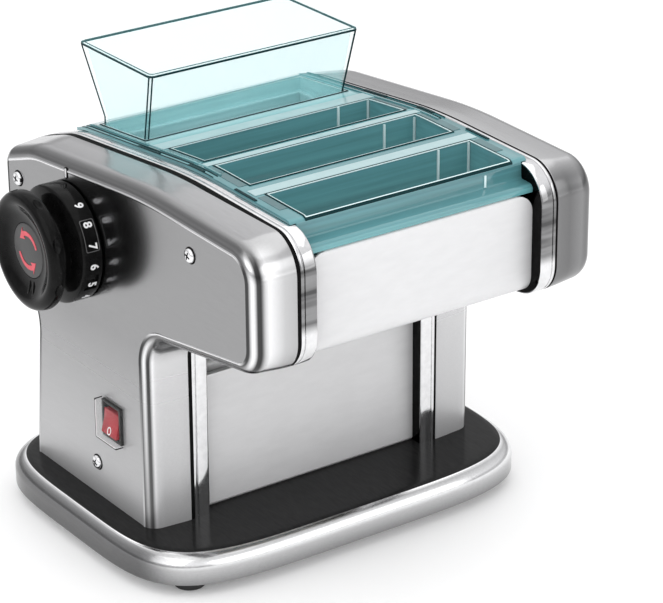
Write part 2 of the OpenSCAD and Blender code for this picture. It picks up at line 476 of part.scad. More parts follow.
module gear_bridge() color([0.55, 0.55, 0.57]) place() {
  difference() {
    slab(117.6, 120.2) polygon(rounded([[78, 126, 8, 4], [178, 119, 8, 4], [158, 236, 8, 4], [139, 236, 8, 4], [96, 186, 20, 4]]));
    rod(110, 130, shaft_o, 4.05, 64); rod(110, 130, shaft_s, 4.05, 64);
  }
  for (p = bridge_feet) { rod(frame_x + web_t, 117.7, p, 3.5); rod(frame_x + 1, frame_x + web_t + 1, p, 2.5); }
}
module fixed_roller_gears() color([0.72, 0.72, 0.74]) place() {
  gear(lay1, gear_w, fixp, 20, m_roll, 0, 6);
  gear(lay2, gear_w, fixp, 40, m_roll, th_fx, 6);
  difference() { rod(lay1 + gear_w - eps, lay2 + eps, fixp, 10); rod(lay1, lay2 + 5, fixp, 6); }
}
module adjusting_roller_gear() color([0.72, 0.72, 0.74]) place() gear(lay1, gear_w, adjp, 20, m_roll, th_ad, 6);

// ---------- motor ----------
module motor_housing() color([0.6, 0.62, 0.64]) place() difference() {
  rod(-52, 36, shaft_m, 34, 96); rod(-53, 37, shaft_m, 31.5, 96);
  for (a = [0:30:330]) translate([0, shaft_m[0], shaft_m[1]]) rotate([a, 0, 0]) { blk([-46, -2.5, 28], [-38, 2.5, 40]); blk([24, -2.5, 28], [32, 2.5, 40]); }
}
module motor_end_caps() color([0.68, 0.69, 0.7]) place() {
  difference() {
    union() { rod(36, 42, shaft_m, 34, 96); rod(30, 36.1, shaft_m, 31.4, 96); rod(42, 48, shaft_m, 14); }
    rod(28, 40, shaft_m, 24); rod(20, 60, shaft_m, 8);
  }
  difference() {
    union() { rod(-58, -52, shaft_m, 34, 96); rod(-52.1, -49, shaft_m, 31.4, 96); }
    rod(-56, -40, shaft_m, 26); rod(-60, -40, shaft_m, 4.06);
    for (a = [0:45:315]) translate([0, shaft_m[0], shaft_m[1]]) rotate([a, 0, 0]) blk([-60, -2, 12], [-50, 2, 24]);
  }
  difference() { rod(40, 47, shaft_m, 7.98); rod(30, 60, shaft_m, 4.06); }
}
module motor_stator() color([0.7, 0.4, 0.2]) place() difference() {
  union() { rod(-24, 12, shaft_m, 31.4, 96); rod(-32, 20, shaft_m, 27, 64); }
  rod(-60, 60, shaft_m, 17.2, 64);
}
module motor_rotor() color([0.62, 0.62, 0.64]) place() {
  rod(-24, 12, shaft_m, 16.8, 64);
  rod(-57, lay1 + gear_w + 0.5, shaft_m, 4);
  gear(lay1, gear_w, shaft_m, 12, 1, th_m, 3.9);
}
module motor_fan() color([0.1, 0.1, 0.1]) place() {
  difference() { union() { rod(-47, -38, shaft_m, 8); rod(-40, -38, shaft_m, 24); } rod(-60, 0, shaft_m, 4); }
  for (a = [0:40:320]) translate([0, shaft_m[0], shaft_m[1]]) rotate([a, 0, 0]) blk([-46.5, -0.8, 7], [-39, 0.8, 23.6]);
}
module motor_cradle() color([0.5, 0.5, 0.52]) place() difference() {
  union() {
    blk([-44, 92, tray_top], [28, 171, tray_top + 2.5]);
    for (x = [-44, 22]) blk([x, 99, tray_top], [x + 6, 164, 92]);
    for (x = [-44, 22]) for (y = [95.5, 165]) difference() { blk([x, y - 1, 70], [x + 6, y + 4, 103.4]); }
    for (x = [-44, 22]) difference() { rod(x, x + 6, shaft_m, 36, 96); blk([x - 1, 90, 60], [x + 7, 175, 103.4]); }
  }
  rod(-60, 60, shaft_m, 34.03, 96);
  for (x = [-44, 22]) blk([x - 1, 114, 40], [x + 7, 149, 60]);
}
module run_capacitor() color([0.88, 0.88, 0.86]) place() { rod(-34, 16, cap, 3); rod(-30, 12, cap, 11); rod(-6, 0, cap, 11.6); }

// ---------- thickness adjuster and knob ----------
function spiral(a) = a < 205 ? 14 - 2.5 * a / 199 : 11.42 + (14 - 11.42) * (a - 205) / 155;
module adjuster_spindle() color([0.75, 0.75, 0.77]) place() left() {
  // the block's flat rides on the cam's largest radius at rest, and on less of it as the knob turns
  slab(frame_x + web_t + 2.6, frame_x + web_t + 7.6) translate([cam_y, sheet_z]) difference() {
    polygon([for (i = [0:4:356]) spiral((360 + i) % 360) * [cos(i), sin(i)]]);
    circle(r = 4.9, $fn = 48);
  }
  rod(frame_x + web_t + 2.6, cover_x + 24, [cam_y, sheet_z], 5, 64);
  // index wheel
  slab(99, 102) translate([cam_y, sheet_z]) difference() {
    circle(r = 16, $fn = 96);
    for (i = [0:9]) rotate(90 - (i == 0 ? 0 : 14.5 + 20.5 * i)) translate([16.6, 0]) circle(r = 1.8, $fn = 32);
    circle(r = 4.9, $fn = 48);
  }
  rod(cover_x + 24, cover_x + 26, [cam_y, sheet_z], 7);
}
module adjuster_bridge() color([0.55, 0.55, 0.57]) place() left() {
  difference() {
    slab(108, 111) polygon(rounded([[cam_y - 13, sheet_z - 33, 8, 4], [cam_y + 13, sheet_z - 33, 8, 4], [cam_y + 13, sheet_z + 33, 8, 4], [cam_y - 13, sheet_z + 33, 8, 4]]));
    rod(100, 120, [cam_y, sheet_z], 5.05, 64);
  }
  for (z = [sheet_z - 26, sheet_z + 26]) { rod(frame_x + web_t, 108.1, [cam_y, z], 4); rod(frame_x + 1, frame_x + web_t + 1, [cam_y, z], 2.5); }
}
module detent_spring() color([0.7, 0.7, 0.72]) place() left() {
  slab(99.4, 101.6) band([[cam_y - 8, sheet_z + 26 + 4.2], [cam_y - 7.2, sheet_z + 19.7], [cam_y - 3, sheet_z + 17.9], [cam_y, sheet_z + 17.0], [cam_y + 3, sheet_z + 17.9]], -0.5);
  slab(99.4, 108) band([[cam_y - 8, sheet_z + 26 + 4.2], [cam_y - 8.3, sheet_z + 26]], -0.5);
}
module knob_profile() {
  h = knob_h;
  polygon([[5.05, 0.8], [11, 0.8], [11, 12], [33, 12], [33, 0.8], [dial_r - 1, 0.8], [dial_r, 2], [dial_r, 13.2], [dial_r - 1.3, 15], [27, 16.4], [23.6, 18.6], [23, 21],
    [24.6, 23.6], [31, 25.4], [disc_r - 1, 27], [disc_r, 29], [disc_r - 0.4, h - 3.4], [disc_r - 2.6, h - 0.8], [disc_r - 6.4, h], [disc_r - 8.4, h - 0.9], [disc_r - 12, h - 3.6], [19, h - 5], [17.6, h - 5], [17.6, h - 6.2], [9, h - 6.2], [9, 19.8], [5.05, 19.8]]);
}
module thickness_knob() color([0.04, 0.04, 0.04]) place() left() translate([cover_x, cam_y, sheet_z]) rotate([0, 90, 0]) rotate_extrude($fn = 128) knob_profile();
module knob_emblem() color([0.3, 0.3, 0.3]) place() left() difference() {
  rod(cover_x + knob_h - 6.2, cover_x + knob_h - 4.6, [cam_y, sheet_z], 17.5, 96);
}

base_tray();
base_plate();
rubber_feet();
foot_screws();
frame_screws();
left_end_frame();
right_end_frame();
tie_rods();
tie_rod_nuts();
front_panel();
rear_panel();
motor_panel();
delivery_chute();
left_side_cover();
right_side_cover();
cover_standoffs();
left_cover_screws();
right_cover_screws();
cord_gland();
switch_housing();
switch_rocker();
switch_boot();
safety_guard();
dough_hopper();
fixed_roller();
adjusting_roller();
bearing_blocks();
roller_bushes();
narrow_cutter_rear();
narrow_cutter_front();
medium_cutter_rear();
medium_cutter_front();
wide_cutter_rear();
wide_cutter_front();
cutter_bushes();
cutter_scrapers();
idler_pins();
idler_gear_1();
idler_gear_2();
idler_gear_3();
idler_gear_4();
output_gears();
reduction_gears();
gear_bridge();
fixed_roller_gears();
adjusting_roller_gear();
motor_housing();
motor_end_caps();
motor_stator();
motor_rotor();
motor_fan();
motor_cradle();
run_capacitor();
adjuster_spindle();
adjuster_bridge();
detent_spring();
thickness_knob();
knob_emblem();
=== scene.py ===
import math

import bmesh
import bpy
from mathutils import Matrix, Vector


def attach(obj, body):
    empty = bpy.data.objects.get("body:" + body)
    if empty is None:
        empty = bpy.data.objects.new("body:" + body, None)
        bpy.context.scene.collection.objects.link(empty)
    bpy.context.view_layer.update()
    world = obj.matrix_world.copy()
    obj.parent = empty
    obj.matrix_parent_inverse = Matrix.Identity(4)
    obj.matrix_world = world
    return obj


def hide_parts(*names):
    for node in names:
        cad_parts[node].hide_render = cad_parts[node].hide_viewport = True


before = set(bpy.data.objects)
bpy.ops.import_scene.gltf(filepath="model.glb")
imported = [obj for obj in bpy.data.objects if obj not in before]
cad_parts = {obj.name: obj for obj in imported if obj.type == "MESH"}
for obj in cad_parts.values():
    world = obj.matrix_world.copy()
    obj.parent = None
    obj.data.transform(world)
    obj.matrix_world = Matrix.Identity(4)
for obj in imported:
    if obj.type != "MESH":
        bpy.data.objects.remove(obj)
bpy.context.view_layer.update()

scene = bpy.context.scene
scene.view_settings.view_transform = "Standard"
SX, SY = 6.3, -89.8          # machine frame to row frame, mm
COVER_X, OPEN_X, FRAME_X, WEB_T = 124.6, 93.5, 82.0, 7.0
CAM_Y, SHEET_Z, KNOB_H = 144.2, 196.8, 36.0


def row(p):
    return Vector(((p[0] + SX) / 1000, (p[1] + SY) / 1000, p[2] / 1000))


# ------------------------------------------------------------------ camera
def camera():
    a, e, r = math.radians(-35.13), math.radians(23.87), math.radians(-0.47)
    back = Vector((math.sin(a) * math.cos(e), -math.cos(a) * math.cos(e), math.sin(e)))
    right = Vector((math.cos(a), math.sin(a), 0))
    up = back.cross(right)
    R = right * math.cos(r) + up * math.sin(r)
    U = right * -math.sin(r) + up * math.cos(r)
    data = bpy.data.cameras.new("camera")
    data.lens, data.sensor_width, data.clip_start, data.clip_end = 158.56, 36, 0.05, 50
    ob = bpy.data.objects.new("camera", data)
    scene.collection.objects.link(ob)
    m = Matrix((R, U, back)).transposed().to_4x4()
    m.translation = Vector((-0.94383, -1.39558, 0.8882))
    ob.matrix_world = m
    scene.camera = ob


camera()


# ------------------------------------------------------------------ materials
def link(nt, a, b):
    nt.links.new(a, b)


def blank(name):
    m = bpy.data.materials.new(name)
    m.use_nodes = True
    nt = m.node_tree
    b = nt.nodes["Principled BSDF"]
    co = nt.nodes.new("ShaderNodeTexCoord")
    return m, nt, b, co.outputs["Object"]


def noise(nt, co, scale, stretch=(1, 1, 1), detail=5.0, rough=0.55):
    mp = nt.nodes.new("ShaderNodeMapping")
    mp.inputs["Scale"].default_value = stretch
    link(nt, co, mp.inputs["Vector"])
    n = nt.nodes.new("ShaderNodeTexNoise")
    n.inputs["Scale"].default_value = scale
    n.inputs["Detail"].default_value = detail
    n.inputs["Roughness"].default_value = rough
    link(nt, mp.outputs[0], n.inputs["Vector"])
    return n.outputs["Fac"]


def ramp(nt, fac, c0, c1, p0=0.35, p1=0.65):
    r = nt.nodes.new("ShaderNodeValToRGB")
    r.color_ramp.elements[0].position, r.color_ramp.elements[1].position = p0, p1
    r.color_ramp.elements[0].color, r.color_ramp.elements[1].color = (*c0, 1), (*c1, 1)
    link(nt, fac, r.inputs["Fac"])
    return r.outputs["Color"]


def spread(nt, fac, lo, hi, a=0.3, b=0.7):
    r = nt.nodes.new("ShaderNodeMapRange")
    r.inputs["From Min"].default_value, r.inputs["From Max"].default_value = a, b
    r.inputs["To Min"].default_value, r.inputs["To Max"].default_value = lo, hi
    link(nt, fac, r.inputs["Value"])
    return r.outputs["Result"]


def bump(nt, b, fac, strength, dist):
    n = nt.nodes.new("ShaderNodeBump")
    n.inputs["Strength"].default_value = strength
    n.inputs["Distance"].default_value = dist
    link(nt, fac, n.inputs["Height"])
    link(nt, n.outputs[0], b.inputs["Normal"])


def metal(name, c0, c1, r0, r1, grain=(40, 3, 40), scale=30.0, strength=0.05, aniso=0.0, metallic=1.0):
    m, nt, b, co = blank(name)
    f = noise(nt, co, scale, grain)
    link(nt, ramp(nt, f, c0, c1), b.inputs["Base Color"])
    link(nt, spread(nt, f, r0, r1), b.inputs["Roughness"])
    bump(nt, b, f, strength, 0.0002)
    b.inputs["Metallic"].default_value = metallic
    b.inputs["Anisotropic"].default_value = aniso
    return m


def plastic(name, c0, c1, r0, r1, scale=300.0, strength=0.04, coat=0.0, ior=1.5):
    m, nt, b, co = blank(name)
    f = noise(nt, co, scale)
    link(nt, ramp(nt, f, c0, c1), b.inputs["Base Color"])
    link(nt, spread(nt, f, r0, r1), b.inputs["Roughness"])
    bump(nt, b, f, strength, 0.0002)
    b.inputs["Coat Weight"].default_value = coat
    b.inputs["Coat Roughness"].default_value = 0.05
    b.inputs["IOR"].default_value = ior
    return m


def clear(name, c0, c1, rough=0.03, ior=1.3, alpha=1.0):
    m, nt, b, co = blank(name)
    f = noise(nt, co, 40.0)
    link(nt, ramp(nt, f, c0, c1), b.inputs["Base Color"])
    link(nt, spread(nt, f, rough * 0.7, rough * 1.4), b.inputs["Roughness"])
    b.inputs["Transmission Weight"].default_value = 1.0
    b.inputs["IOR"].default_value = ior
    b.inputs["Alpha"].default_value = alpha
    return m


def film(name, c0, c1, alpha):
    """Thin clear wall: mostly see-through, with a tint of its own."""
    m, nt, b, co = blank(name)
    f = noise(nt, co, 40.0)
    link(nt, ramp(nt, f, c0, c1), b.inputs["Base Color"])
    link(nt, spread(nt, f, 0.04, 0.07), b.inputs["Roughness"])
    b.inputs["IOR"].default_value = 1.25
    b.inputs["Alpha"].default_value = alpha
    return m


def g(v):
    return (v, v, v * 1.01)


def axis(nt, co, name):
    sep = nt.nodes.new("ShaderNodeSeparateXYZ")
    link(nt, co, sep.inputs[0])
    return sep.outputs[name]


def mixed(nt, fac, c0, c1):
    mx = nt.nodes.new("ShaderNodeMix")
    mx.data_type = "RGBA"
    link(nt, fac, mx.inputs["Factor"])
    link(nt, c0, mx.inputs[6])
    link(nt, c1, mx.inputs[7])
    return mx.outputs[2]


def cover_steel(name, low, high, z0, z1):
    """Brushed steel with painted reflections. The flat face is painted from one shade to another by height, lighter low
    on the post and darker up on the head; the rounded shoulder takes painted bright and dark reflection bands from the
    mesh's own attribute.
    """
    m, nt, b, co = blank(name)
    f = noise(nt, co, 34, (30, 2.5, 60))
    z = axis(nt, co, "Z")
    head = spread(nt, z, 0.0, 1.0, 0.085, 0.165)
    shade = spread(nt, z, 0.0, 1.0, z0, z1)
    flat = mixed(nt, shade, ramp(nt, f, g(low * 0.97), g(low * 1.03)), ramp(nt, f, g(high * 0.97), g(high * 1.03)))
    # painted_light attribute: the shoulder's painted reflection bands; flat attribute: which faces take the
    # height-painted shade
    at, fl = nt.nodes.new("ShaderNodeAttribute"), nt.nodes.new("ShaderNodeAttribute")
    at.attribute_name, fl.attribute_name = "painted_light", "flat"
    mu = nt.nodes.new("ShaderNodeMix")
    mu.data_type, mu.blend_type = "RGBA", "MULTIPLY"
    mu.inputs["Factor"].default_value = 1.0
    link(nt, at.outputs["Color"], mu.inputs[6])
    link(nt, ramp(nt, f, g(0.97), g(1.03)), mu.inputs[7])
    link(nt, mixed(nt, fl.outputs["Fac"], mu.outputs[2], flat), b.inputs["Base Color"])
    link(nt, spread(nt, head, 0.32, 0.19, 0, 1), b.inputs["Roughness"])
    link(nt, spread(nt, head, 0.40, 1.0, 0, 1), b.inputs["Metallic"])
    bump(nt, b, f, 0.008, 0.0002)
    return m


COVER = cover_steel("brushed_cover", 0.46, 0.275, 0.055, 0.15)
# painted shade: the right cover's copy of the same steel is painted darker low down
COVER_R = cover_steel("brushed_cover_right", 0.40, 0.28, 0.055, 0.15)
PANEL = metal("polished_panel", g(0.66), g(0.69), 0.36, 0.44, (2, 6, 6), 30, 0.002, 0.0, 0.12)


def chrome(name, lo, hi):
    """Bright plating with painted reflection and shade: a painted band of dark grey blotches across the front of the
    head stands in for dark reflections, and the inner side face, x from lo to hi in metres, is painted near black as
    shade.
    """
    m, nt, b, co = blank(name)
    f = noise(nt, co, 40, (6, 6, 6))
    # painted shade: mask of the inner side face, painted near black
    inside = nt.nodes.new("ShaderNodeMath")
    inside.operation = "COMPARE"
    inside.inputs[1].default_value, inside.inputs[2].default_value = (lo + hi) / 2, (hi - lo) / 2
    link(nt, axis(nt, co, "X"), inside.inputs[0])
    # painted reflection: dark grey blotches on the front face of the head, between two heights
    front = spread(nt, axis(nt, co, "Y"), 1.0, 0.0, -0.1465, -0.1400)
    z = axis(nt, co, "Z")
    band = nt.nodes.new("ShaderNodeMath")
    band.operation = "MULTIPLY"
    link(nt, spread(nt, z, 0.0, 1.0, 0.196, 0.203), band.inputs[0])
    link(nt, spread(nt, z, 1.0, 0.0, 0.236, 0.249), band.inputs[1])
    grey = nt.nodes.new("ShaderNodeMath")
    grey.operation = "MULTIPLY"
    link(nt, front, grey.inputs[0])
    link(nt, band.outputs[0], grey.inputs[1])
    blocks = noise(nt, co, 60, (0.2, 0.2, 2.2), 2.0)
    bright = mixed(nt, grey.outputs[0], ramp(nt, f, g(0.70), g(0.78)), ramp(nt, blocks, g(0.09), g(0.26), 0.40, 0.60))
    link(nt, mixed(nt, inside.outputs[0], bright, ramp(nt, f, g(0.008), g(0.014))), b.inputs["Base Color"])
    link(nt, spread(nt, f, 0.07, 0.12), b.inputs["Roughness"])
    bump(nt, b, f, 0.02, 0.0002)
    b.inputs["Metallic"].default_value = 1.0
    return m


CHROME_L = chrome("chrome_trim_left", -0.07575, -0.0756)
CHROME_R = chrome("chrome_trim_right", 0.0882, 0.08835)
REAR = metal("rear_panel_steel", g(0.66), g(0.74), 0.24, 0.34, (3, 40, 60), 30, 0.05, 0.3)
ZINC = metal("zinc_steel", g(0.42), g(0.58), 0.35, 0.5, (4, 4, 4), 60, 0.1)
ROLLER = metal("ground_roller", g(0.58), g(0.70), 0.18, 0.3, (90, 8, 8), 20, 0.08, 0.4)
GEAR = metal("gear_steel", g(0.45), g(0.58), 0.3, 0.42, (6, 6, 6), 60, 0.08)
ALLOY = metal("motor_alloy", g(0.48), g(0.6), 0.4, 0.55, (5, 5, 5), 90, 0.2)
BRONZE = metal("sintered_bronze", (0.50, 0.33, 0.13), (0.66, 0.46, 0.2), 0.4, 0.55, (8, 8, 8), 90, 0.2)
COPPER = metal("copper_winding", (0.45, 0.17, 0.07), (0.68, 0.3, 0.12), 0.3, 0.45, (120, 5, 5), 20, 0.3)
SCREW = metal("bright_screw", g(0.74), g(0.84), 0.12, 0.2, (6, 6, 6), 80, 0.04)
BLACK = plastic("black_gloss", g(0.003), g(0.006), 0.12, 0.18, 160, 0.01, 0.04, 1.18)
GRIP_EDGE_HIGHLIGHT = plastic("grip_edge_painted_highlight", g(0.07), g(0.11), 0.3, 0.4, 300, 0.02)
# black used as painted shade: gaps, recess floors and dark edge lines
SHADE_BLACK = plastic("painted_shade_black", g(0.003), g(0.005), 0.5, 0.65, 400, 0.05, 0.0, 1.12)
BLACK_M = plastic("black_plastic", g(0.010), g(0.018), 0.35, 0.5, 500, 0.08, 0.0, 1.3)
EMBLEM = plastic("emblem_grey", g(0.026), g(0.036), 0.35, 0.45, 300, 0.04)
RED = plastic("red_rocker", (0.30, 0.008, 0.016), (0.40, 0.014, 0.024), 0.2, 0.28, 120, 0.02, 0.1, 1.3)
RED_INK = plastic("red_ink", (0.62, 0.06, 0.085), (0.72, 0.09, 0.12), 0.4, 0.5, 300, 0.02)
# white for print, and as painted highlight on the boot's edges
WHITE_INK_AND_HIGHLIGHT = plastic("white_ink_and_painted_highlight", g(0.86), g(0.93), 0.4, 0.5, 300, 0.02)
NYLON = plastic("nylon", (0.72, 0.70, 0.62), (0.80, 0.78, 0.70), 0.4, 0.5, 200, 0.05)
PALE = plastic("pale_plastic", g(0.68), g(0.75), 0.35, 0.45, 200, 0.05)
RUBBER = plastic("rubber", g(0.014), g(0.026), 0.6, 0.8, 700, 0.2)
CYAN = film("pale_clear", (0.40, 0.90, 0.93), (0.46, 0.94, 0.97), 0.12)
TEAL_DARK = plastic("teal_edge", (0.004, 0.026, 0.030), (0.008, 0.036, 0.040), 0.3, 0.4, 60, 0.01, 0.0, 1.15)
TEAL_PALE = plastic("teal_pale", (0.34, 0.50, 0.515), (0.39, 0.55, 0.565), 0.10, 0.16, 60, 0.01, 0.3)
TEAL_WHITE = plastic("teal_white", (0.66, 0.84, 0.85), (0.72, 0.88, 0.89), 0.10, 0.16, 60, 0.01, 0.3)
TEAL_DEEP = plastic("teal_deep", (0.030, 0.115, 0.128), (0.045, 0.15, 0.165), 0.08, 0.14, 60, 0.01, 0.3)
BOOT = film("clear_boot", g(0.55), g(0.62), 0.035)


def tray_steel():
    """Steel with painted light and shade, by the mesh's own attributes: satin on the wall, painted by height and by
    which way it faces, and the flat top painted dark and glossy as a painted reflection.
    """
    m, nt, b, co = blank("tray_steel")
    f = noise(nt, co, 30, (30, 4, 40))
    painted_light = nt.nodes.new("ShaderNodeAttribute")
    painted_light.attribute_name = "painted_light"
    mu = nt.nodes.new("ShaderNodeMix")
    mu.data_type, mu.blend_type = "RGBA", "MULTIPLY"
    mu.inputs["Factor"].default_value = 1.0
    link(nt, painted_light.outputs["Color"], mu.inputs[6])
    link(nt, ramp(nt, f, g(0.95), g(1.05)), mu.inputs[7])
    light = mu.outputs[2]
    dark = ramp(nt, f, g(0.014), g(0.020))
    at = nt.nodes.new("ShaderNodeAttribute")
    at.attribute_name = "top"
    mx = nt.nodes.new("ShaderNodeMix")
    mx.data_type = "RGBA"
    link(nt, at.outputs["Fac"], mx.inputs["Factor"])
    link(nt, light, mx.inputs[6])
    link(nt, dark, mx.inputs[7])
    link(nt, mx.outputs[2], b.inputs["Base Color"])
    link(nt, spread(nt, f, 0.14, 0.2), b.inputs["Roughness"])
    bump(nt, b, f, 0.02, 0.0002)
    link(nt, spread(nt, at.outputs["Fac"], 1.0, 0.0, 0.0, 1.0), b.inputs["Metallic"])
    b.inputs["IOR"].default_value = 1.16
    return m


TRAY = tray_steel()


def teal_clear():
    """Milky clear teal with painted light and shade by the mesh's own attribute: faces that look up are painted dark,
    upright walls are painted darker near the top than lower down, and the faces under the hopper are painted pale.
    """
    m, nt, b, co = blank("teal_clear")
    f = noise(nt, co, 40.0)
    at = nt.nodes.new("ShaderNodeAttribute")
    at.attribute_name = "up"
    cr = nt.nodes.new("ShaderNodeValToRGB")
    for pos, c in ((0.0, (0.105, 0.29, 0.315)), (0.5, (0.21, 0.54, 0.56)), (1.0, (0.62, 0.92, 0.94))):
        e = cr.color_ramp.elements[0] if pos == 0 else cr.color_ramp.elements[-1] if pos == 1 else cr.color_ramp.elements.new(pos)
        e.position, e.color = pos, (*c, 1)
    link(nt, at.outputs["Fac"], cr.inputs["Fac"])
    mx = nt.nodes.new("ShaderNodeMix")
    mx.data_type, mx.blend_type = "RGBA", "MULTIPLY"
    mx.inputs["Factor"].default_value = 1.0
    link(nt, cr.outputs["Color"], mx.inputs[6])
    link(nt, ramp(nt, noise(nt, co, 26, (0.25, 1, 9), 3.0), g(0.82), g(1.08)), mx.inputs[7])
    link(nt, mx.outputs[2], b.inputs["Base Color"])
    link(nt, spread(nt, f, 0.05, 0.10), b.inputs["Roughness"])
    b.inputs["Transmission Weight"].default_value = 0.15
    b.inputs["IOR"].default_value = 1.5
    b.inputs["Coat Weight"].default_value = 0.4
    b.inputs["Coat Roughness"].default_value = 0.04
    return m


TEAL = teal_clear()


# ------------------------------------------------------------------ outlines (mm, machine frame)
def unit(v):
    n = math.hypot(v[0], v[1])
    return (v[0] / n, v[1] / n)


def corner(p0, p1, p2, r, k):
    if r <= 0:
        return [p1]
    u, v = unit((p0[0] - p1[0], p0[1] - p1[1])), unit((p2[0] - p1[0], p2[1] - p1[1]))
    a = math.acos(max(-1, min(1, u[0] * v[0] + u[1] * v[1])))
    t, w = r / math.tan(a / 2), unit((u[0] + v[0], u[1] + v[1]))
    c = (p1[0] + w[0] * r / math.sin(a / 2), p1[1] + w[1] * r / math.sin(a / 2))
    a0 = math.atan2(p1[1] + u[1] * t - c[1], p1[0] + u[0] * t - c[0])
    a1 = math.atan2(p1[1] + v[1] * t - c[1], p1[0] + v[0] * t - c[0])
    d = ((a1 - a0 + 3 * math.pi) % (2 * math.pi)) - math.pi
    return [(c[0] + r * math.cos(a0 + d * i / k), c[1] + r * math.sin(a0 + d * i / k)) for i in range(k + 1)]


def rounded(P):
    n = len(P)
    out = []
    for i in range(n):
        out += corner(P[i - 1][:2], P[i][:2], P[(i + 1) % n][:2], P[i][2], P[i][3])
    return out


def inset(P, d):
    n, out = len(P), []
    for i in range(n):
        p0, p1, p2 = P[i - 1], P[i], P[(i + 1) % n]
        e1, e2 = unit((p1[0] - p0[0], p1[1] - p0[1])), unit((p2[0] - p1[0], p2[1] - p1[1]))
        n1, n2 = (-e1[1], e1[0]), (-e2[1], e2[0])
        d1, d2, c = d * p0[4], d * p1[4], n1[0] * n2[0] + n1[1] * n2[1]
        if abs(1 - c * c) < 1e-5:
            q = (p1[0] + n1[0] * d1, p1[1] + n1[1] * d1)
        else:
            s, t = (d1 - c * d2) / (1 - c * c), (d2 - c * d1) / (1 - c * c)
            q = (p1[0] + n1[0] * s + n2[0] * t, p1[1] + n1[1] * s + n2[1] * t)
        cr = e1[0] * e2[1] - e1[1] * e2[0]
        out.append((q[0], q[1], 0 if p1[2] <= 0 else max(1, p1[2] - (d if cr > 0 else -d)), p1[3], p1[4]))
    return out


SIDE = [(61.5, 28, 0, 1, 0), (209, 28, 0, 1, 1), (199, 126, 26, 14, 1), (231, 176, 22, 14, 1), (231, 232, 13, 16, 1),
        (190, 245.8, 80, 10, 1), (60, 258.6, 420, 16, 1), (-58.4, 256, 24, 24, 1), (-58.4, 174.3, 22, 20, 1), (60.5, 156.1, 19, 20, 1)]
SIDE_LOW = [(p[0], p[1] - 6, 0, 1, p[4]) if i < 2 else p for i, p in enumerate(SIDE)]


def polyline(P):
    """Open line with rounded corners: points are (y, z) or (y, z, radius)."""
    out = []
    for i, p in enumerate(P):
        out += [p[:2]] if len(p) < 3 or i in (0, len(P) - 1) else corner(P[i - 1][:2], p[:2], P[i + 1][:2], p[2], 10)
    return out


def strip(L, t):
    """Closed outline of a sheet t thick on one side of the line L."""
    n, other = len(L), []
    for i in range(n):
        a, b = L[max(0, i - 1)], L[min(n - 1, i + 1)]
        e1 = unit((L[1][0] - L[0][0], L[1][1] - L[0][1])) if i == 0 else unit((L[i][0] - a[0], L[i][1] - a[1]))
        e2 = e1 if i == n - 1 else unit((b[0] - L[i][0], b[1] - L[i][1]))
        n1, n2 = (-e1[1], e1[0]), (-e2[1], e2[0])
        k = t / (1 + n1[0] * n2[0] + n1[1] * n2[1])
        other.append((L[i][0] + (n1[0] + n2[0]) * k, L[i][1] + (n1[1] + n2[1]) * k))
    return list(L) + other[::-1]


# ------------------------------------------------------------------ solids
def ladder(stops, t):
    for (a, va), (b, vb) in zip(stops, stops[1:]):
        if t <= b:
            return va + (vb - va) * max(0.0, (t - a) / (b - a))
    return stops[-1][1]


def ease(v, a, b):
    t = max(0.0, min(1.0, (v - a) / (b - a)))
    return t * t * (3 - 2 * t)


def raw(name, verts, faces):
    me = bpy.data.meshes.new(name)
    me.from_pydata([row(v) for v in verts], [], faces)
    bm = bmesh.new()
    bm.from_mesh(me)
    bmesh.ops.recalc_face_normals(bm, faces=bm.faces)
    bm.to_mesh(me)
    bm.free()
    ob = bpy.data.objects.new(name, me)
    scene.collection.objects.link(ob)
    return ob


def loft(name, rings):
    n, m = len(rings[0]), len(rings)
    verts = [p for r in rings for p in r]
    faces = [list(range(n))[::-1], [(m - 1) * n + j for j in range(n)]]
    for i in range(m - 1):
        for j in range(n):
            k = (j + 1) % n
            faces.append([i * n + j, i * n + k, (i + 1) * n + k, (i + 1) * n + j])
    return raw(name, verts, faces)


def prism(name, outline, x0, x1):
    return loft(name, [[(x0, y, z) for y, z in outline], [(x1, y, z) for y, z in outline]])


def box(name, a, b):
    v = [(x, y, z) for x in (a[0], b[0]) for y in (a[1], b[1]) for z in (a[2], b[2])]
    return raw(name, v, [[0, 1, 3, 2], [4, 6, 7, 5], [0, 4, 5, 1], [2, 3, 7, 6], [0, 2, 6, 4], [1, 5, 7, 3]])


def lathe(name, profile, frame_of, n=96):
    """Turns (radius, height) points about an axis. frame_of(r, angle, height) gives the machine point."""
    rings = []
    for r, h in profile:
        rings.append([frame_of(r, 2 * math.pi * j / n, h) for j in range(n)])
    return loft(name, rings)


def around_x(y, z, sign=1, x0=0.0):
    return lambda r, a, h: (sign * (x0 + h), y + r * math.cos(a), z + r * math.sin(a))


def tube_x(name, x0, x1, y, z, r, n=48):
    return lathe(name, [(r, x0), (r, x1)], around_x(y, z), n)


def combine(ob, others, op="DIFFERENCE"):
    col = bpy.data.collections.new("operands")
    scene.collection.children.link(col)
    for o in others:
        for c in list(o.users_collection):
            c.objects.unlink(o)
        col.objects.link(o)
    md = ob.modifiers.new("b", "BOOLEAN")
    md.operation, md.operand_type, md.collection, md.solver = op, "COLLECTION", col, "EXACT"
    bpy.context.view_layer.update()
    me = bpy.data.meshes.new_from_object(ob.evaluated_get(bpy.context.evaluated_depsgraph_get()))
    ob.modifiers.clear()
    ob.data = me
    for o in others:
        bpy.data.objects.remove(o)
    bpy.data.collections.remove(col)
    return ob


